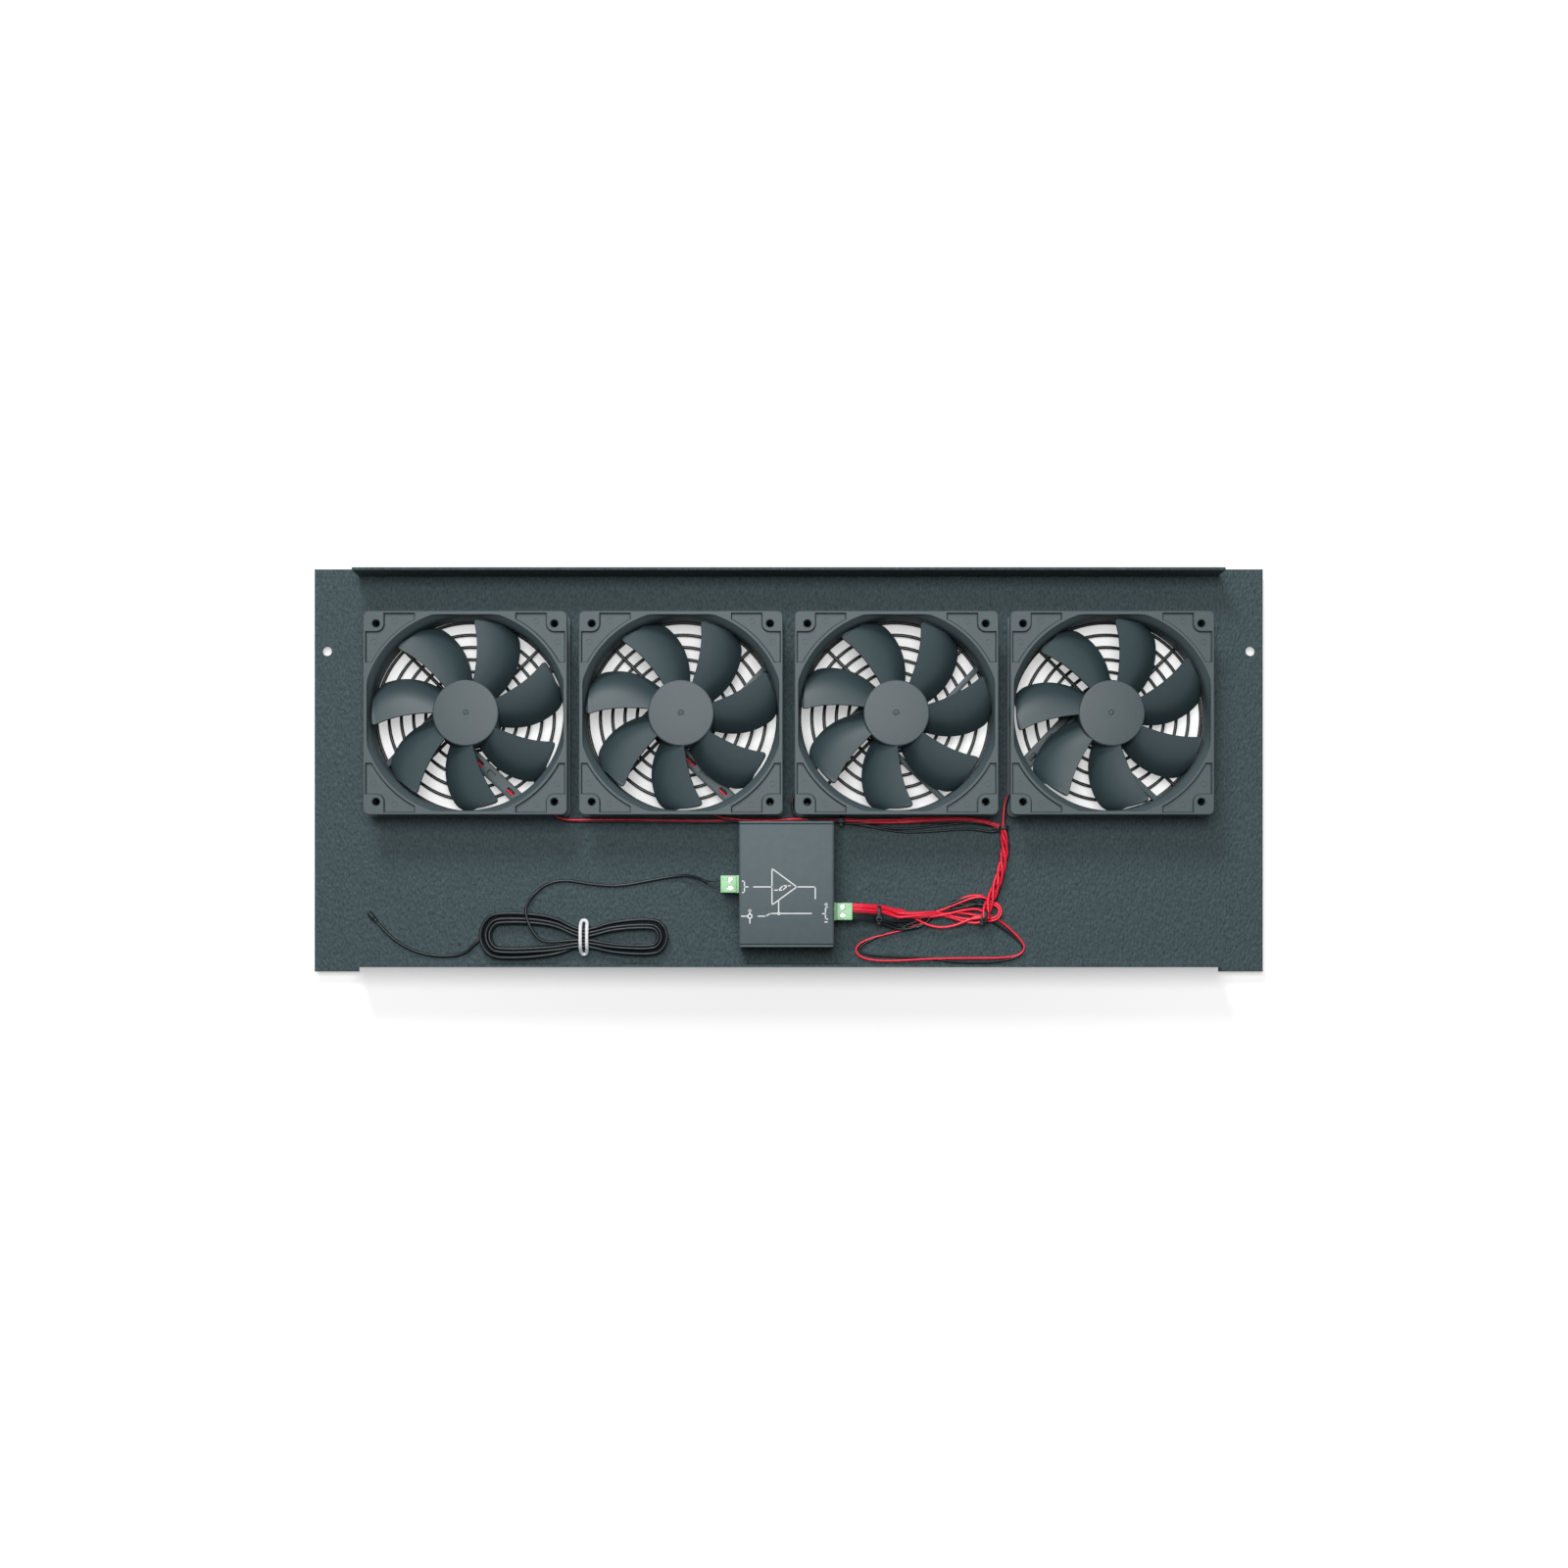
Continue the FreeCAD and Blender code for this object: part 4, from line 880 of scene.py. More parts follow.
@dataclass
class ThermistorCord:
    """Thin cord from the left terminal, through a tied hank, to the sensing bead.

    The lead leaves the plug, crosses the panel and the top of the hank's left loop, winds
    seven turns and ends in a tail.
    """

    diameter: float = 1.9
    length: float = 1830.0
    exit: Point = (-40.4, -68.2, 17.8)
    lead: Sequence[Point] = (
        (-48.4, -67.2, 17.0), (-50.6, -66.4, 16.2), (-53.2, -65.3, 14.4), (-58.2, -63.2, 10.65),
        (-68.0, -63.1, 7.65), (-85.0, -66.3, 7.25), (-103.0, -69.6, 7.25), (-120.0, -67.9, 7.25),
        (-134.0, -65.4, 7.25), (-145.0, -67.7, 7.25), (-153.0, -74.3, 7.6), (-157.4, -82.0, 12.2),
    )
    entry: Sequence[Point] = ((-156.0, -90.0, 0.0), (-152.2, -97.5, 0.0), (-146.5, -103.4, -0.4))
    tail: Sequence[Point] = (
        (-187.0, -103.0, 8.4), (-194.0, -110.2, 7.25), (-207.0, -111.6, 7.25), (-220.0, -109.9, 7.25),
        (-232.0, -104.6, 7.25), (-241.5, -96.8, 7.25), (-248.2, -88.6, 7.25),
    )
    rest: float = PANEL_TOP + 0.15
    left: Spot = (-170.6, -99.0)
    right: Spot = (-83.5, -99.6)
    left_radius: float = 15.4
    right_radius: float = 12.2
    waist: float = -122.6
    waist_top: float = -94.6
    waist_low: float = -106.4
    waist_half: float = 4.0
    lane_gap: float = 0.05
    left_run: float = 15.0
    right_run: float = 14.0
    left_bow: float = 0.84
    right_bow: float = 0.86
    left_loose: Spot = (0.9, 0.6)
    right_loose: Spot = (0.5, 0.5)
    lanes: Sequence[tuple[int, int]] = ((2, 2), (2, 1), (2, 0), (1, 0), (1, 1), (1, 2), (0, 1))

    def _turn(self, layer: int, lane: int, number: int) -> list[Point]:
        """Points of one turn of the hank, from the lower run at the waist round both loops.

        Args:
            layer: Layer of the turn, counted from the panel.
            lane: Lane of the turn, counted from the outside of the hank.
            number: Which turn it is, which sets how loose its loops are.

        Returns:
            The turn's points.
        """
        half = self.diameter / 2
        height = self.rest + half + layer * self.diameter
        inward = half + lane * (self.diameter + self.lane_gap)
        low, top = self.waist_low + inward, self.waist_top - inward
        near, far = self.waist - self.waist_half, self.waist + self.waist_half
        by_lane, by_turn = self.right_loose
        right = self.right_radius - inward - (by_lane * lane + by_turn * ((number + 1) % 3))
        by_lane, by_turn = self.left_loose
        left = self.left_radius - inward - (by_lane * lane + by_turn * (number % 2))
        out, bow = far + self.right_run, self.right_bow * right
        spots = [(near, low), (far, low), (out, self.right[1] - bow)]
        spots += self._arc(self.right, right, (-75, -38, 0, 38, 75))
        spots += [(out, self.right[1] + bow - 0.6), (far, top), (near, top)]
        out, bow = near - self.left_run, self.left_bow * left
        spots += [(out, self.left[1] + bow)]
        spots += self._arc(self.left, left, (105, 140, 180, 220, 255))
        spots += [(out, self.left[1] - bow)]
        return [(*spot, height) for spot in spots]

    @staticmethod
    def _arc(centre: Spot, radius: float, angles: Sequence[float]) -> list[Spot]:
        """Points on an arc.

        Args:
            centre: Its centre.
            radius: Its radius.
            angles: The angle of each point, in degrees.

        Returns:
            The points.
        """
        turns = [math.radians(angle) for angle in angles]
        x, y = centre
        return [(x + radius * math.cos(turn), y + radius * math.sin(turn)) for turn in turns]

    def _route(self) -> list[Point]:
        """All points of the cord.

        Returns:
            The points, from the plug to the bead.
        """
        top = self.rest + 3.5 * self.diameter
        points = [*self.lead, *((x, y, top + rise) for x, y, rise in self.entry)]
        for number, (layer, lane) in enumerate(self.lanes):
            points += self._turn(layer, lane, number)
        return [*points[:-3], *self.tail]

    def build(self, bead: Object) -> None:
        """Args:
            bead: The piece at its far end; not used.
        """
        curve = wire_curve("cord", self.diameter / 2, 3, CORD_JACKET)
        add_line(curve, self._route(), 8)
        stands_for = ("thermistor_lead", "thermistor_hank", "thermistor_tail")
        cord = piece("thermistor_cord", curve, "cord_black", *stands_for)


# ---------------------------------------------------------------- control box


@dataclass
class ControlBox:
    """Extruded case with end plates, its printing, board and terminals."""

    across: float = -1.3
    along: float = -69.1
    base: float = 7.2
    width: float = 56.0
    depth: float = 74.0
    height: float = 28.0
    wall: float = 1.5
    edge: float = 1.6
    plate: float = 1.5
    seam: float = 0.7
    ink: float = 0.04
    line: float = 0.62
    board_top: float = 13.5
    thermistor_row: float = -68.6
    fan_row: float = -84.8
    jack_row: float = -86.5
    play: float = 0.3
    stand_out: float = 1.7
    header: Point = (12.0, 10.6, 8.6)
    header_wall: float = 0.9
    plug: Point = (9.4, 10.2, 9.0)
    pitch: float = 5.08
    clamp_radius: float = 1.6
    clamp_pit: float = 1.72
    clamp_slot: Point = (3.6, 0.5, 1.2)
    wire_mouth: Point = (3.0, 2.9, 4.4)
    dot_radius: float = 0.28
    jack: Point = (12.0, 9.0, 11.0)
    jack_bore: float = 3.1
    jack_rim: float = 3.7
    jack_pin: float = 1.0
    strokes: Sequence[Sequence[Spot]] = (
        ((-24.7, 1.8), (-25.9, 1.8)), ((-24.7, 1.8), (-24.7, -4.9)), ((-24.7, -4.9), (-25.9, -4.9)),
        ((-24.7, -1.6), (-22.6, -1.6)), ((-19.3, -1.6), (-8.5, -1.6)),
        ((-8.5, 9.2), (-8.5, -12.2), (6.0, -1.6), (-8.5, 9.2)),
        ((-6.9, -3.5), (-2.2, -3.5), (0.6, -0.9), (2.2, -0.9)),
        ((-4.8, -3.5), (-2.0, -0.9), (0.6, -0.9)),
        ((6.0, -1.6), (16.9, -1.6), (16.9, -8.5)), ((-4.6, -9.8), (-4.6, -17.2)),
        ((-16.6, -18.8), (-12.2, -18.8), (-9.4, -17.2), (14.6, -17.2)),
        ((-26.4, -18.8), (-22.9, -18.8)), ((-21.5, -20.3), (-21.5, -22.9)),
        ((-21.5, -17.3), (-21.5, -14.9)), ((-22.2, -15.6), (-20.8, -15.6)),
        ((21.2, -17.3), (22.9, -17.3)), ((24.1, -13.5), (22.9, -13.5), (22.9, -20.5), (24.1, -20.5)),
        ((22.5, -11.9), (23.9, -11.9)), ((23.2, -11.2), (23.2, -12.6)), ((22.6, -22.2), (23.8, -22.2)),
    )
    circles: Sequence[tuple[Spot, float, float]] = (
        ((-21.5, -18.8), 0.85, 1.55), ((-4.6, -17.2), 0.0, 0.95),
    )

    def build(self) -> None:
        """Make the case, its printing, the terminals and what stands on the board."""
        self._case()
        self._printing()
        self._terminal("thermistor", self.thermistor_row, -1)
        self._terminal("fan", self.fan_row, 1)
        self._jack()
        repaint(BOARD, "control_board")
        repaint(COMPONENT, "comparator_chip", "drive_transistor")
        repaint(CASE, "smoothing_capacitor")
        repaint(FOAM, "box_mounting_pad")

    def _length(self, long: float, y: float, bevel: float) -> Form:
        """Solid length of the case's section, with its four long edges rounded.

        Args:
            long: Its length.
            y: Its middle along Y.
            bevel: Radius of the edges round its ends.

        Returns:
            The form.
        """
        high = self.height - self.ink
        form = Form().box((self.width, high, long), CENTRE, bevel, corner=self.edge)
        middle = Matrix.Translation((self.across, y, self.base + high / 2))
        return Form().add(form, middle @ Matrix.Rotation(math.pi / 2, 4, "X"))

    def _case(self) -> None:
        """Case with openings for the terminals and the jack, and the two end plates."""
        case = self._length(self.depth - 2 * self.plate - self.seam, self.along, 0.3)
        inner = (self.width - 2 * self.wall, self.depth + 4, self.height - 2 * self.wall)
        case.apply(Form().box(inner, (self.across, self.along, self.base + self.height / 2)))
        openings = Form()
        for row, side, (_, wide, high) in (
            (self.thermistor_row, -1, self.header), (self.fan_row, 1, self.header),
            (self.jack_row, -1, self.jack),
        ):
            at = (self.across + side * self.width / 2, row, self.board_top + high / 2)
            openings.box((6, wide + self.play, high + self.play), at)
        case.apply(openings)
        piece("control_case", case.mesh(CASE), "case_black", "control_box_case")
        for name, side in (("lower", -1), ("upper", 1)):
            cover = self._length(self.plate, self.along + side * (self.depth - self.plate) / 2, 0.35)
            piece(f"end_plate_{name}", cover.mesh(CASE), "case_black", f"control_box_end_{name}")

    def _printing(self) -> None:
        """Line drawing of a comparator between its input, its supply and its output."""
        form, middle, top = Form(), Vector((self.across, self.along)), self.base + self.height
        for points in self.strokes:
            for start, end in zip(points, points[1:]):
                run = Vector(end) - Vector(start)
                spot = middle + (Vector(end) + Vector(start)) / 2
                size = (run.length + self.line * 0.9, self.line, self.ink * 0.98)
                turn = math.degrees(math.atan2(run.y, run.x))
                form.box(size, (*spot, top - self.ink / 2), turn=turn)
        low, high = top - self.ink, top - 0.001
        for at, inner, outer in self.circles:
            ring = [(inner, low), (outer, low), (outer, high), (inner, high)]
            form.lathe(ring, (*(middle + Vector(at)), 0), 32, closed=inner > 0)
        piece("printed_diagram", form.mesh(INK), "case_black")

    def _terminal(self, name: str, row: float, side: int) -> None:
        """Header, plug and clamp screws of one terminal.

        Args:
            name: What is connected there.
            row: Where its middle is along the box.
            side: 1 on the right of the box and -1 on the left.
        """
        rim = self.across + side * (self.width / 2 + self.stand_out)
        deep, wide, tall = self.header
        thin, level = self.header_wall, self.board_top + tall / 2
        header = Form().box(self.header, (rim - side * deep / 2, row, level), 0.35)
        inner = (deep, wide - 2 * thin, tall - 2 * thin)
        header.apply(Form().box(inner, (rim - side * (deep / 2 - thin), row, level)))
        piece(f"{name}_socket", header.mesh(TERMINAL), "terminal_green", f"{name}_header")
        long, wide, tall = self.plug
        nose = (deep - 2 * thin, wide - 2 * thin, tall - 2.4)
        plug = Form().box(self.plug, (rim + side * long / 2, row, level), 0.45)
        plug.add(Form().box(nose, (rim - side * nose[0] / 2, row, level), 0.3))
        pits, screws = Form(), Form()
        x, peak = rim + side * long / 2.6, level + tall / 2
        for shift in (-0.5, 0.5):
            y = row + shift * self.pitch
            pits.rod(self.clamp_pit, (x, y, peak - 2.2), (x, y, peak + 1), 32)
            screw = Form().rod(self.clamp_radius, (x, y, peak - 2.1), (x, y, peak - 0.45), 32, bevel=0.2)
            slot = Form().box(self.clamp_slot, (x, y, peak - 0.5), turn=32 + 55 * shift)
            screws.add(screw.apply(slot))
            pits.box(self.wire_mouth, (rim + side * long, y, level - 0.9), corner=0.5)
            for out, beside in ((0.86, 0.6), (0.76, -0.6)):
                dot = (rim + side * long * out, y + beside)
                pits.rod(self.dot_radius, (*dot, peak - 0.25), (*dot, peak + 1), 12)
        plug.apply(pits)
        piece(f"{name}_plug_body", plug.mesh(TERMINAL), "terminal_green", f"{name}_plug")
        piece(f"{name}_clamps", screws.mesh(ZINC), "clamp_steel", "plug_clamp_screws")

    def _jack(self) -> None:
        """Barrel jack in the left wall, with its pin."""
        long, _, tall = self.jack
        mouth = self.across - self.width / 2 + 0.5
        row, level = self.jack_row, self.board_top + tall / 2
        shell = Form().box(self.jack, (mouth + long / 2, row, level), 0.4)
        bore, pin = Form(), Form()
        for form, radius, start, end, facets, bevel in (
            (bore, self.jack_bore, -1, 9, 32, 0), (bore, self.jack_rim, -1, 0.5, 32, 0),
            (pin, self.jack_pin, 1, 9.2, 20, 0.3),
        ):
            ends = (mouth + start, row, level), (mouth + end, row, level)
            form.rod(radius, *ends, facets, bevel=bevel)
        shell.apply(bore).add(pin)
        piece("supply_jack", shell.mesh(COMPONENT), "component_black", "power_jack")


# ---------------------------------------------------------------- wiring


@dataclass(frozen=True)
class Lay:
    """How one wire lies about the line of its bundle, in millimetres.

    The wire runs beside and above the line, and swings about that place in waves.
    """

    finish: Finish
    side: float = 0.0
    rise: float = 0.0
    swing: float = 0.0
    lift: float = 0.0
    waves: float = 0.0
    phase: float = 0.0


def strands(finish: Finish, radius: float, waves: float, side: float, rise: float) -> list[Lay]:
    """Four wires of one colour that turn about each other.

    Args:
        finish: Their surface.
        radius: Distance of each from the middle.
        waves: Turns along the bundle.
        side: Where their middle is beside the bundle's line.
        rise: Where their middle is above it.

    Returns:
        The lay of each wire.
    """
    return [Lay(finish, side, rise, radius, radius, waves, step / 4) for step in range(4)]


@dataclass
class Bundle:
    """Wires that follow one line together.

    They spread by grow towards the line's end, draw together at the pinches, and stop
    swinging where calm says; these three are shares of the line.
    """

    name: str
    line: Sequence[Point]
    wires: Sequence[Lay]
    radius: float = 0.7
    grow: float = 0.0
    pinches: Sequence[float] = ()
    calm: float = 9.0
    step: float = 1.1
    calming: float = 6.0
    pinch_depth: float = 0.42
    pinch_reach: float = 4.0

    def _points(self) -> list[Vector]:
        """Points along the smooth curve that the line's points control.

        Returns:
            The points, close together.
        """
        curve = bpy.data.curves.new("line", "CURVE")
        curve.dimensions = "3D"
        add_line(curve, self.line, 12, scale=1.0)
        mesh = bpy.data.meshes.new_from_object(bpy.data.objects.new("line", curve))
        points = [vert.co.copy() for vert in mesh.vertices]
        bpy.data.meshes.remove(mesh)
        bpy.data.curves.remove(curve)
        return points

    def _spot(self, wire: Lay, point: Vector, ahead: Vector, share: float, total: float) -> Vector:
        """Where a wire passes a point of the line.

        Args:
            wire: How the wire lies.
            point: The point.
            ahead: The line's direction there.
            share: How much of the line lies behind the point.
            total: Length of the line.

        Returns:
            The place, which is never under the panel's face.
        """
        turn = 2 * math.pi * (wire.waves * share + wire.phase)
        wide = (1 + self.grow * share) * min(1.0, max(0.0, (self.calm - share) * self.calming))
        tight = 1.0
        for pinch in self.pinches:
            near = math.exp(-(((share - pinch) * total / self.pinch_reach) ** 2))
            tight *= 1 - self.pinch_depth * near
        beside = tight * (wire.side + wide * wire.swing * math.cos(turn))
        above = tight * (wire.rise + wide * wire.lift * math.sin(turn))
        spot = point + Vector((ahead.y, -ahead.x, 0)).normalized() * beside + Vector((0, 0, above))
        spot.z = max(spot.z, PANEL_TOP + self.radius + 0.05)
        return spot

    def lay(self, curves: dict[str, Curve]) -> None:
        """Add the wires to the curves of their colours.

        Args:
            curves: The curve that holds the wires of each finish.
        """
        points = self._points()
        end = len(points) - 1
        walked = [0.0]
        for before, after in zip(points, points[1:]):
            walked.append(walked[-1] + (after - before).length)
        stops, last = [], -math.inf
        for index, run in enumerate(walked):
            if run - last >= self.step or index == end:
                ahead = points[min(index + 1, end)] - points[max(index - 1, 0)]
                stops.append((points[index], ahead, run / walked[-1], walked[-1]))
                last = run
        for wire in self.wires:
            route = [self._spot(wire, *stop) for stop in stops]
            add_line(curves[wire.finish.name], route, 2, radius=self.radius)
        LOG.info("laid %s", self.name)


@dataclass
class CableTie:
    """Nylon tie about a bundle, with its head and the cut end of its strap."""

    at: Point
    size: Point
    turn: float
    head: Spot
    strap: float = 0.75
    lock: Point = (4.0, 3.2, 3.4)
    lock_slot: Point = (2.2, 1.4, 5.0)
    cut_end: Point = (2.2, 2.6, 0.9)
    rounding: Spot = (0.32, 0.25)

    def build(self, form: Form) -> None:
        """Add the tie to a form.

        Args:
            form: The form of all ties.
        """
        wide, across, tall = self.size
        along, rise = self.head
        place = Matrix.Translation(self.at) @ Matrix.Rotation(math.radians(self.turn), 4, "Z")
        outer, inner = (min(tall, across) * share for share in self.rounding)
        double = 2 * self.strap
        band = Form().box((tall, across, wide), CENTRE, 0.2, corner=outer)
        band.apply(Form().box((tall - double, across - double, wide + 2), CENTRE, corner=inner))
        form.add(band, place @ Matrix.Rotation(math.pi / 2, 4, "Y"))
        lock = Form().box(self.lock, (0, along, rise), 0.35)
        lock.apply(Form().box(self.lock_slot, (0, along, rise)))
        form.add(lock, place)
        stub = (0, along + math.copysign(2.2, along), rise - 0.6)
        form.add(Form().box(self.cut_end, stub, 0.2), place)


PAIR = (Lay(RED_WIRE, -0.25, 0.95, 0.35, 0.25, 2.2), Lay(BLACK_WIRE, 0.75, -0.35, 0.3, 0.2, 1.7, 0.3))
BURIED = (Lay(RED_WIRE, 0.3, -0.5, 0.3, 0.2, 1.6), Lay(BLACK_WIRE, 0.1, 0.95, 0.3, 0.2, 1.2))
RISING = (
    Lay(RED_WIRE, 0.2, 0.2, 0.3, 0.8, 0.5, 0.75), Lay(BLACK_WIRE, -0.2, 0.2, 0.3, 0.8, 0.5, 0.25),
)
BLACK_BRAID = [
    Lay(BLACK_WIRE, step - 1.5, 0.2 + 0.4 * (step % 2), 1.3, 0.9, 2.2, step / 4) for step in range(4)
]


@dataclass
class Harness:
    """Fan leads, the trunks that they join, the braid to the fan terminal and its ties."""

    bundles: Sequence[Bundle] = (
        Bundle("fan 1", (
            (-144, -23.5, 11.8), (-139.5, -27, 11.4), (-135, -29.7, 9.6), (-126, -30.3, 8.3),
            (-94, -30.2, 8.2), (-66, -29.9, 8.3), (-40, -30.8, 8.4), (-14, -29.9, 8.3),
            (30, -29.9, 8.3),
        ), PAIR),
        Bundle("fan 2", (
            (-50, -24.6, 11.8), (-44, -27.2, 11.6), (-37, -29.8, 11.0), (-24, -30.6, 10.8),
            (0, -30, 11.0), (30, -30, 10.9),
        ), PAIR),
        Bundle("fan 3", (
            (3.2, -15, 10.0), (1.6, -21, 10.0), (3.4, -28, 10.6), (12, -30.2, 11), (30, -30, 11.2),
        ), BURIED),
        Bundle("along fan 3", (
            (31.5, -30, 9.6), (46.6, -30.9, 9.6), (66, -30.2, 9.8), (86, -29.9, 9.8),
            (105.8, -29.2, 9.6), (118.5, -30.4, 9.6), (126.6, -33.6, 9.6),
        ), (
            Lay(RED_WIRE, -0.2, 1.4, 0.5, 0.3, 2.1), Lay(RED_WIRE, 0.7, 0.5, 0.4, 0.3, 1.6, 0.4),
            Lay(RED_WIRE, -0.8, 0.1, 0.4, 0.3, 1.4, 0.7), Lay(BLACK_WIRE, 1.2, -0.9, 0.4, 0.3, 1.3),
        )),
        Bundle("slack along fan 3", (
            (31.5, -30.6, 8.2), (46.6, -32.4, 7.6), (66, -35.4, 7.0), (82, -34.2, 7.0),
            (105.8, -30.6, 7.6), (118.5, -31.8, 8.0), (126.8, -34.0, 8.8),
        ), (
            Lay(BLACK_WIRE, 0.3, 0, 0.3, 0.1, 1.1), Lay(BLACK_WIRE, 2.6, 0, 1.9, 0.1, 0.5, 0.5),
        ), pinches=(0.0, 1.0)),
        Bundle("fan 4", (
            (131.2, -15, 10.6), (129.6, -19.5, 10.4), (128.6, -27, 9.8), (128.2, -34.4, 9.6),
        ), RISING),
        Bundle("trunk", (
            (127.9, -33.2, 9.5), (128.0, -36.5, 9.3), (129.1, -46.9, 9.2), (127.2, -58.1, 9.3),
            (124.6, -67, 9.5), (121.2, -75.4, 10), (118.4, -82, 11), (116.6, -88.4, 12),
        ), strands(RED_WIRE, 1.45, 1.7, -0.2, 0.9), radius=0.85, grow=0.5, pinches=(0.0,)),
        Bundle("trunk, black", (
            (128.9, -33.4, 8.2), (130.6, -40, 7.6), (131.4, -47.5, 7.6), (128.9, -58.1, 7.6),
            (127.0, -67, 7.6), (124.3, -75.8, 7.6), (121.0, -81, 7.6), (118.2, -87.5, 8.2),
        ), strands(BLACK_WIRE, 1.0, 2.2, 0.5, 0.5), radius=0.76),
        Bundle("braid, red", (
            (118.2, -87.4, 10.6), (108, -88.0, 9.8), (98.2, -88.8, 9.6), (87.6, -88.6, 9.8),
            (77.6, -86.9, 10), (68.4, -84.6, 10.8), (59.5, -83.9, 12.6), (53.6, -83.6, 14.4),
            (46.0, -83.0, 16.6), (40.6, -82.7, 17.2), (36.6, -82.6, 17.2),
        ), (
            Lay(RED_WIRE, -2.0, 0.5, 3.4, 1.0, 1.35, 0.05),
            Lay(RED_WIRE, -1.0, 1.3, 2.9, 1.2, 1.6, 0.42),
            Lay(RED_WIRE, 0.0, 0.3, 3.2, 0.9, 1.25, 0.70), Lay(RED_WIRE, 1.0, 1.4, 2.2, 1.0, 1.9, 0.3),
            Lay(RED_WIRE, 2.0, 0.4, 2.8, 0.8, 1.1, 0.9),
        ), radius=0.85, pinches=(0.0,), calm=0.80),
        Bundle("braid, red strand", (
            (120.5, -79.5, 10.4), (117.8, -76.5, 10.6), (111.5, -75.6, 10), (104.2, -77.9, 9.4),
            (97.0, -81.6, 9.0), (89.5, -85.2, 8.8), (78, -86.9, 9.2), (66, -86.5, 10),
        ), (
            Lay(RED_WIRE, 0, 0.6, 0.45, 0.4, 1.8), Lay(RED_WIRE, 0.9, 0, 0.45, 0.4, 1.8, 0.5),
        ), radius=0.80),
        Bundle("braid, black", (
            (121.5, -80.5, 8.4), (115, -78.4, 8.4), (103, -79.3, 8.6), (95.5, -81.2, 8.4),
            (88.5, -84.4, 7.9), (81.9, -90.8, 7.8), (73, -93.4, 8.2), (64.3, -92.2, 9.2),
            (55, -89.9, 12.6), (48, -88.4, 15.8), (41.5, -87.6, 17.0), (36.8, -87.4, 17.2),
        ), BLACK_BRAID, radius=0.80, calm=0.82),
        Bundle("turned back", (
            (116, -88.0, 9.6), (119.5, -89.0, 11), (124.6, -87.9, 11.6), (126.0, -83.6, 11.4),
            (123.4, -80.2, 11), (119.6, -81.6, 10), (117.4, -86.0, 9),
        ), (
            Lay(RED_WIRE), Lay(RED_WIRE, 1.5, -0.5, 0.2, 0.2, 1),
        ), radius=0.76),
        Bundle("spare loop", (
            (119.5, -87.6, 9.6), (124.5, -89.6, 8.4), (132, -95.4, 7.6), (138, -101, 7.6),
            (141.6, -105.8, 7.6), (138.4, -111.2, 7.6), (126, -113, 7.6), (106, -113.2, 7.6),
            (84, -112.8, 7.6), (64, -113.3, 7.6), (50, -113.0, 7.6), (41.6, -110.6, 7.6),
            (40.4, -106.2, 7.6), (45.5, -102.2, 7.6), (54, -99.2, 7.6), (64, -96.4, 7.8),
            (73, -93.6, 8.2), (82, -90.2, 8.8),
        ), (
            Lay(RED_WIRE, -0.1, 0.3, 0.75, 0.15, 1.5, 0.5), Lay(BLACK_WIRE, 0.1, -0.1, 2.0, 0.1, 1.5),
        )),
    )
    groove: Sequence[Spot] = (
        (9, 3.1), (18, 3.4), (25.5, 2.4), (29, 0.95), (33, 0.9), (37, 0.95), (42, 2.2), (48.5, 3.4),
        (54, 2.6),
    )
    sunk: Sequence[int] = (3, 4)
    conductors: Sequence[float] = (-66.06, -71.14)
    ties: Sequence[CableTie] = (
        CableTie((31.3, -30.1, 10.3), (2.4, 4.8, 7.4), 0, (-0.2, 3.2)),
        CableTie((128.3, -34.6, 9.5), (2.4, 6.0, 6.2), 90, (2.6, -0.6)),
        CableTie((117.0, -87.3, 10.9), (2.6, 8.2, 8.8), -20, (-2.6, 3.0)),
        CableTie((53.8, -85.9, 13.6), (2.4, 9.4, 8.6), 0, (-3.4, 3.0)),
    )

    def _motor_lead(self, number: int) -> Bundle:
        """The stretch of a fan's lead that lies in the groove of its strut.

        Args:
            number: The fan.

        Returns:
            Its bundle, whose red wire hides in the groove of some fans.
        """
        fan = FanFrame()
        angle = math.radians(fan.strut_angle + 270 + FanBank().channel_turn[number - 1])
        along = Vector((math.cos(angle), math.sin(angle), 0))
        start = Vector(fan_place(number)) + Vector((-along.y, along.x, 0)) * fan.strut_offset
        line = [start + along * out + Vector((0, 0, rise)) for out, rise in self.groove]
        drop = -1.8 if number in self.sunk else 0.0
        lays = (Lay(RED_WIRE, 0.65, drop), Lay(BLACK_WIRE, -0.65))
        return Bundle(f"motor lead {number}", line, lays, radius=0.6)

    @staticmethod
    def _conductor(row: float) -> Bundle:
        """One conductor of the thermistor cord, where its jacket ends.

        Args:
            row: Where it enters the plug, along the box.

        Returns:
            Its bundle.
        """
        line = ((-51.6, -66.3, 15.6), (-46.5, (row - 67.4) / 2, 17.4), (-42.5, row, 17.3), (-38.2, row, 17.1))
        return Bundle("thermistor conductor", line, (Lay(BLACK_WIRE),), radius=0.6)

    def build(self) -> None:
        """Lay all wires, one piece for each colour, and add the ties."""
        curves = {finish.name: wire_curve(finish.name, 1.0, 2, finish) for finish in (RED_WIRE, BLACK_WIRE)}
        leads = [self._motor_lead(number) for number in FANS]
        for bundle in (*self.bundles, *leads, *(self._conductor(row) for row in self.conductors)):
            bundle.lay(curves)
        for name, finish, slot in (("red", RED_WIRE, "lead_red"), ("black", BLACK_WIRE, "cord_black")):
            piece(f"{name}_leads", curves[finish.name], slot, "fan_leads", "lead_trunks")
        form = Form()
        for tie in self.ties:
            tie.build(form)
        piece("nylon_ties", form.mesh(BLACK_NYLON), "tie_black", "cable_ties")


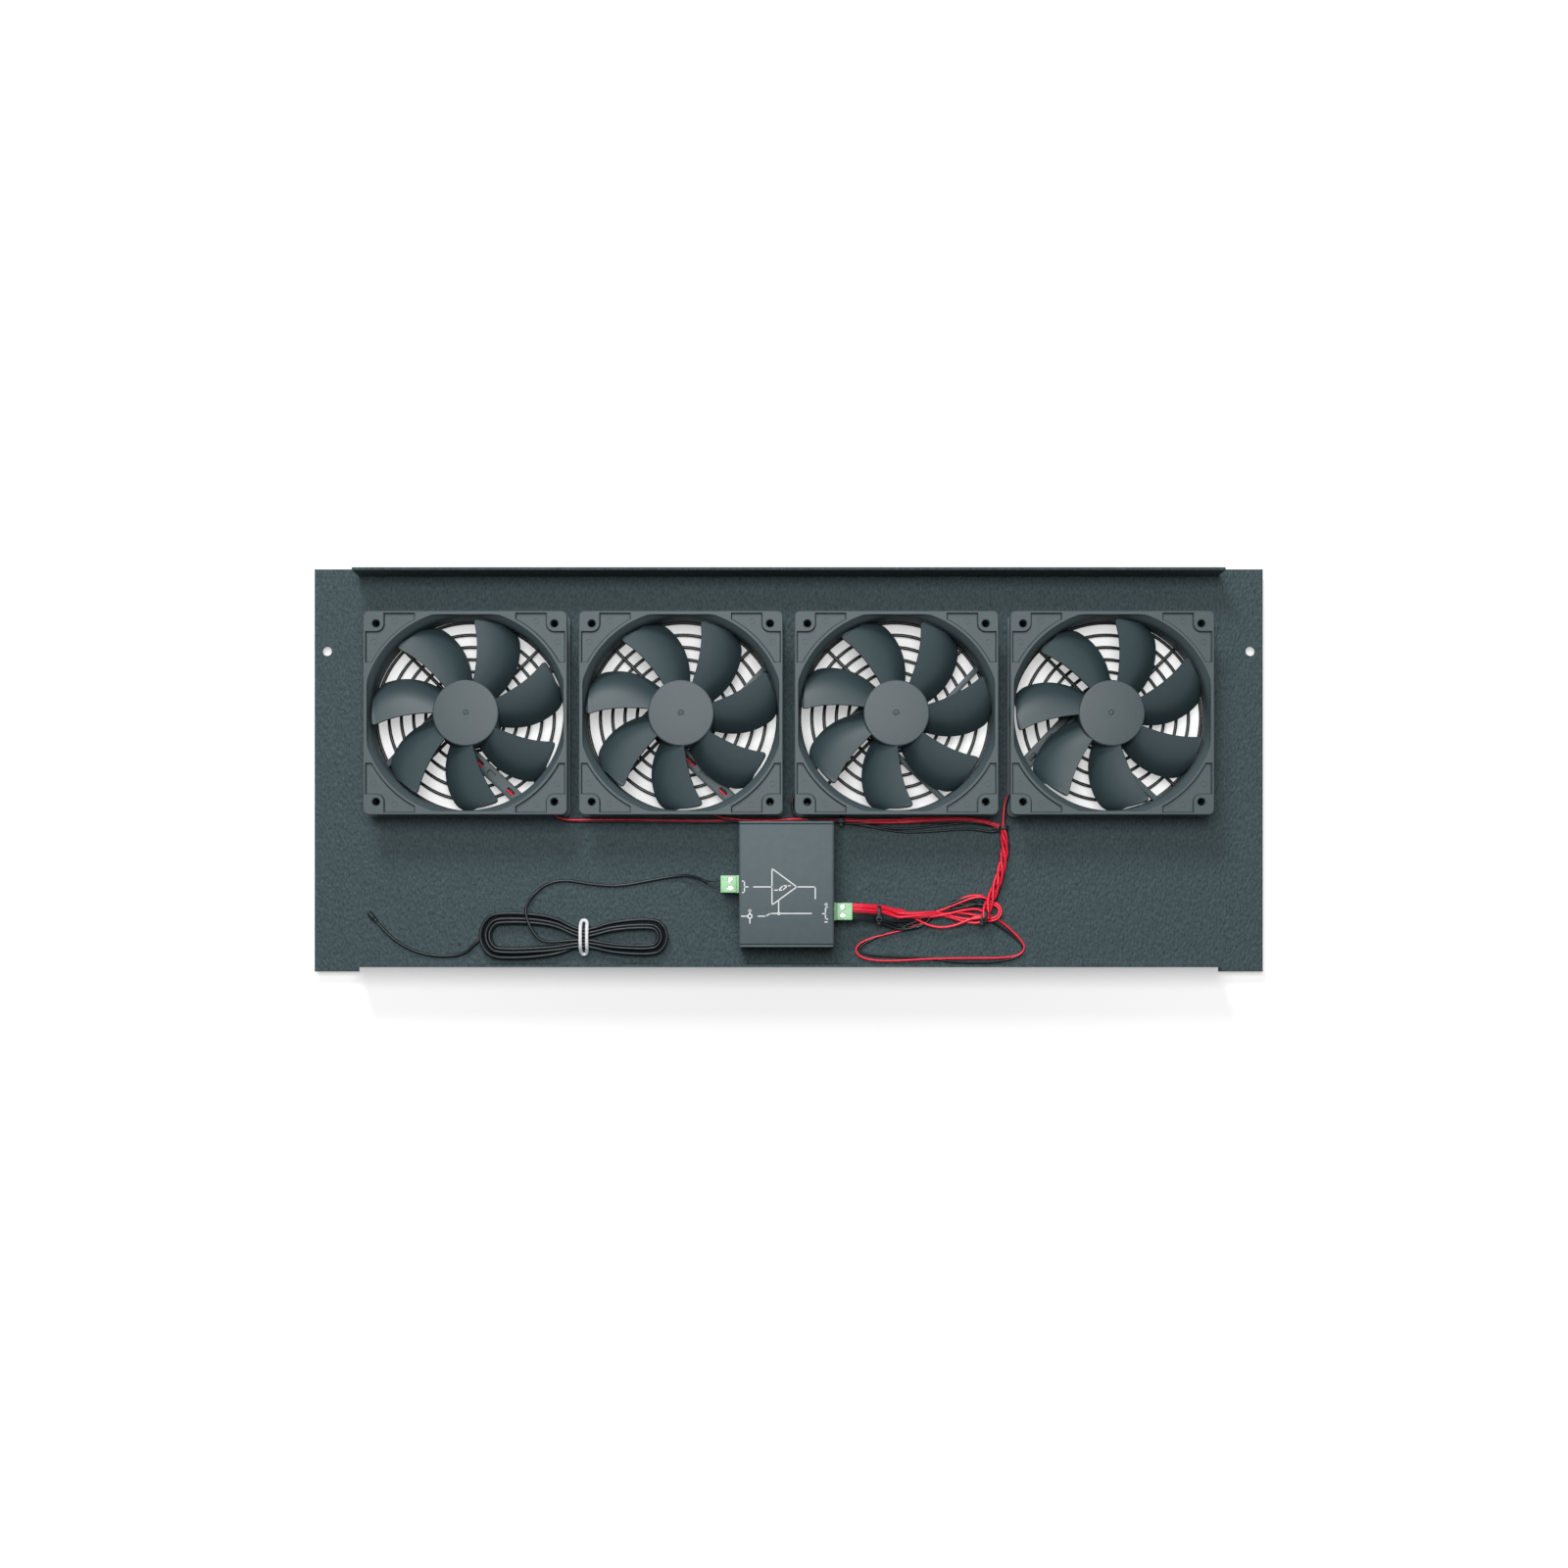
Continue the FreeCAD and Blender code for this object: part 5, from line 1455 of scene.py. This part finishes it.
@dataclass
class HankTie:
    """White tie looped over the waist of the hank."""

    middle: Spot = (-122.3, -100.0)
    half_width: float = 1.95
    half_length: float = 10.2
    top: float = 14.0
    low: float = 8.6
    thickness: float = 1.1

    def build(self) -> None:
        """Make the loop as one closed curve."""
        wide, long, top, low = self.half_width, self.half_length, self.top, self.low
        half = (
            (-wide, 0, top), (-wide, long * 0.55, top - 0.6), (-wide, long * 0.84, low + 1.6),
            (-wide * 0.55, long, low), (wide * 0.55, long, low), (wide, long * 0.84, low + 1.6),
            (wide, long * 0.55, top - 0.6), (wide, 0, top),
        )
        loop = half + tuple((-x, -y, z) for x, y, z in half[1:-1])
        curve = wire_curve("tie", self.thickness, 3, WHITE_TIE)
        add_line(curve, [Vector(point) + Vector((*self.middle, 0)) for point in loop], 10, closed=True)
        piece("white_hank_tie", curve, "tie_white", "hank_tie")


@dataclass
class Bead:
    """Moulded bead that holds the thermistor at the cord's end."""

    start: Point = (-247.9, -88.9, 7.9)
    end: Point = (-251.4, -84.9, 7.9)
    radius: float = 1.6
    sleeve: float = 2.2

    def build(self) -> Object:
        """Make the bead and the sleeve between it and the cord.

        Returns:
            Its object.
        """
        away = (Vector(self.start) - Vector(self.end)).normalized() * self.sleeve
        form = Form().rod(self.radius, self.start, self.end, 32, bevel=0.7)
        form.rod(self.radius - 0.35, tuple(Vector(self.start) + away), self.start, 32, bevel=0.25)
        return piece("sensing_bead", form.mesh(CORD_JACKET), "bead_black", "thermistor_bead")


# ---------------------------------------------------------------- studio


def seen_level(tree: NodeTree, light: float, seen: float, ways: Sequence[str] = ()) -> NodeSocket:
    """Strength of a surface or sky that may look brighter than the light it gives.

    Args:
        tree: The node tree.
        light: Strength as a source of light.
        seen: Strength to the camera.
        ways: Kinds of ray that see it as the camera does.

    Returns:
        The socket that gives the strength.
    """
    path = tree.nodes.new("ShaderNodeLightPath")
    value = path.outputs["Is Camera Ray"]
    for way in ways:
        either = tree.nodes.new("ShaderNodeMath")
        either.operation = "MAXIMUM"
        tree.links.new(value, either.inputs[0])
        tree.links.new(path.outputs[way], either.inputs[1])
        value = either.outputs["Value"]
    return add_node(tree, "MapRange", {"Value": value, "To Min": light, "To Max": seen}).outputs["Result"]


@dataclass
class Studio:
    """Floor, lamps, white surroundings and the camera above the tray, in metres."""

    camera: Point = (0.0, -0.1167, 1.44)
    lens: float = 54.95
    shift: Spot = (-0.003, 0.1156)
    floor_size: float = 4.0
    floor_drop: float = 0.0005
    floor_shade: float = 0.66
    # floor's glow to the camera under the tray and far away, and how fast it fades; the dim glow under the
    # tray is painted shade
    floor_glow_painted_shade: Spot = (0.36, 1.0)
    painted_shade_scale: float = 0.8
    sky: Spot = (0.04, 0.55)
    lamps: Sequence[tuple[str, Point, float, float]] = (
        ("key", (-0.08, 0.36, 2.12), 0.9, 31.5), ("side", (-0.50, 1.60, 1.45), 0.6, 24.0),
    )

    def build(self) -> None:
        """Set up the whole studio."""
        self._floor()
        self._lamps()
        self._world()
        self._camera()
        bpy.context.scene.view_settings.view_transform = "Standard"

    @staticmethod
    def _stand(name: str, data: ID, at: Point) -> Object:
        """Put a thing of the studio in its place.

        Args:
            name: Its name.
            data: Its mesh, lamp or camera.
            at: The place.

        Returns:
            The object.
        """
        item = bpy.data.objects.new(name, data)
        item.location = at
        bpy.context.collection.objects.link(item)
        return item

    def _floor(self) -> None:
        """Pale floor that keeps the tray's shadow, with a painted shade under the tray."""
        form = Form()
        bmesh.ops.create_grid(form.bm, x_segments=1, y_segments=1, size=self.floor_size)
        mesh = bpy.data.meshes.new("floor")
        form.bm.to_mesh(mesh)
        mesh.materials.append(self._pale_painted_shade())
        self._stand("floor", mesh, (0, 0, -self.floor_drop))

    def _pale_painted_shade(self) -> Material:
        """The floor's material, which glows to the camera in a painted shade of grey under the tray and white
        far from it.

        Returns:
            The material.
        """
        made = bpy.data.materials.new("pale floor with painted shade")
        made.use_nodes = True
        tree = made.node_tree
        place = tree.nodes.new("ShaderNodeTexCoord").outputs["Object"]
        shrink = {"Vector": place, "Scale": (self.painted_shade_scale,) * 3}
        near = add_node(tree, "TexGradient", {"Vector": add_node(tree, "Mapping", shrink).outputs["Vector"]})
        near.gradient_type = "SPHERICAL"
        # painted shade: the floor's glow to the camera dims towards the middle, under the tray
        under, away = self.floor_glow_painted_shade
        painted_shade_fade = {"Value": near.outputs["Fac"], "To Min": away, "To Max": under}
        fill(tree, tree.nodes["Principled BSDF"], {
            "Base Color": (*(self.floor_shade,) * 3, 1.0), "Roughness": 0.95,
            "Emission Color": add_node(tree, "MapRange", painted_shade_fade).outputs["Result"],
            "Emission Strength": seen_level(tree, 0.0, 1.0),
        })
        return made

    def _lamps(self) -> None:
        """Soft key lamp almost overhead, and a side lamp from behind on the left."""
        for name, place, size, power in self.lamps:
            data = bpy.data.lights.new(name, "AREA")
            data.shape = "SQUARE"
            data.size = size
            data.energy = power
            turn = Vector(place).to_track_quat("Z", "Y").to_euler()
            self._stand(name, data, place).rotation_euler = turn

    def _world(self) -> None:
        """Even light all round, brighter to the camera and in reflections than it shines."""
        world = bpy.data.worlds.new("studio")
        bpy.context.scene.world = world
        world.use_nodes = True
        tree = world.node_tree
        level = seen_level(tree, *self.sky, ("Is Glossy Ray", "Is Transmission Ray"))
        fill(tree, tree.nodes["Background"], {"Color": (1, 1, 1, 1), "Strength": level})

    def _camera(self) -> None:
        """Camera straight above, with the tray framed by its shift."""
        data = bpy.data.cameras.new("camera")
        data.lens = self.lens
        data.sensor_width = 36.0
        data.shift_x, data.shift_y = self.shift
        data.clip_end = 20.0
        bpy.context.scene.camera = self._stand("camera", data, self.camera)


def main() -> None:
    """Build every sub-assembly in order."""
    logging.basicConfig(level=logging.INFO, format="%(message)s")
    Studio().build()
    bead = Bead().build()
    ThermistorCord().build(bead)
    repaint(POWDER_COAT, "tray_panel")
    FanBank().build()
    FingerGuards().build()
    ControlBox().build()
    Harness().build()
    HankTie().build()


if __name__ == "__main__":
    main()
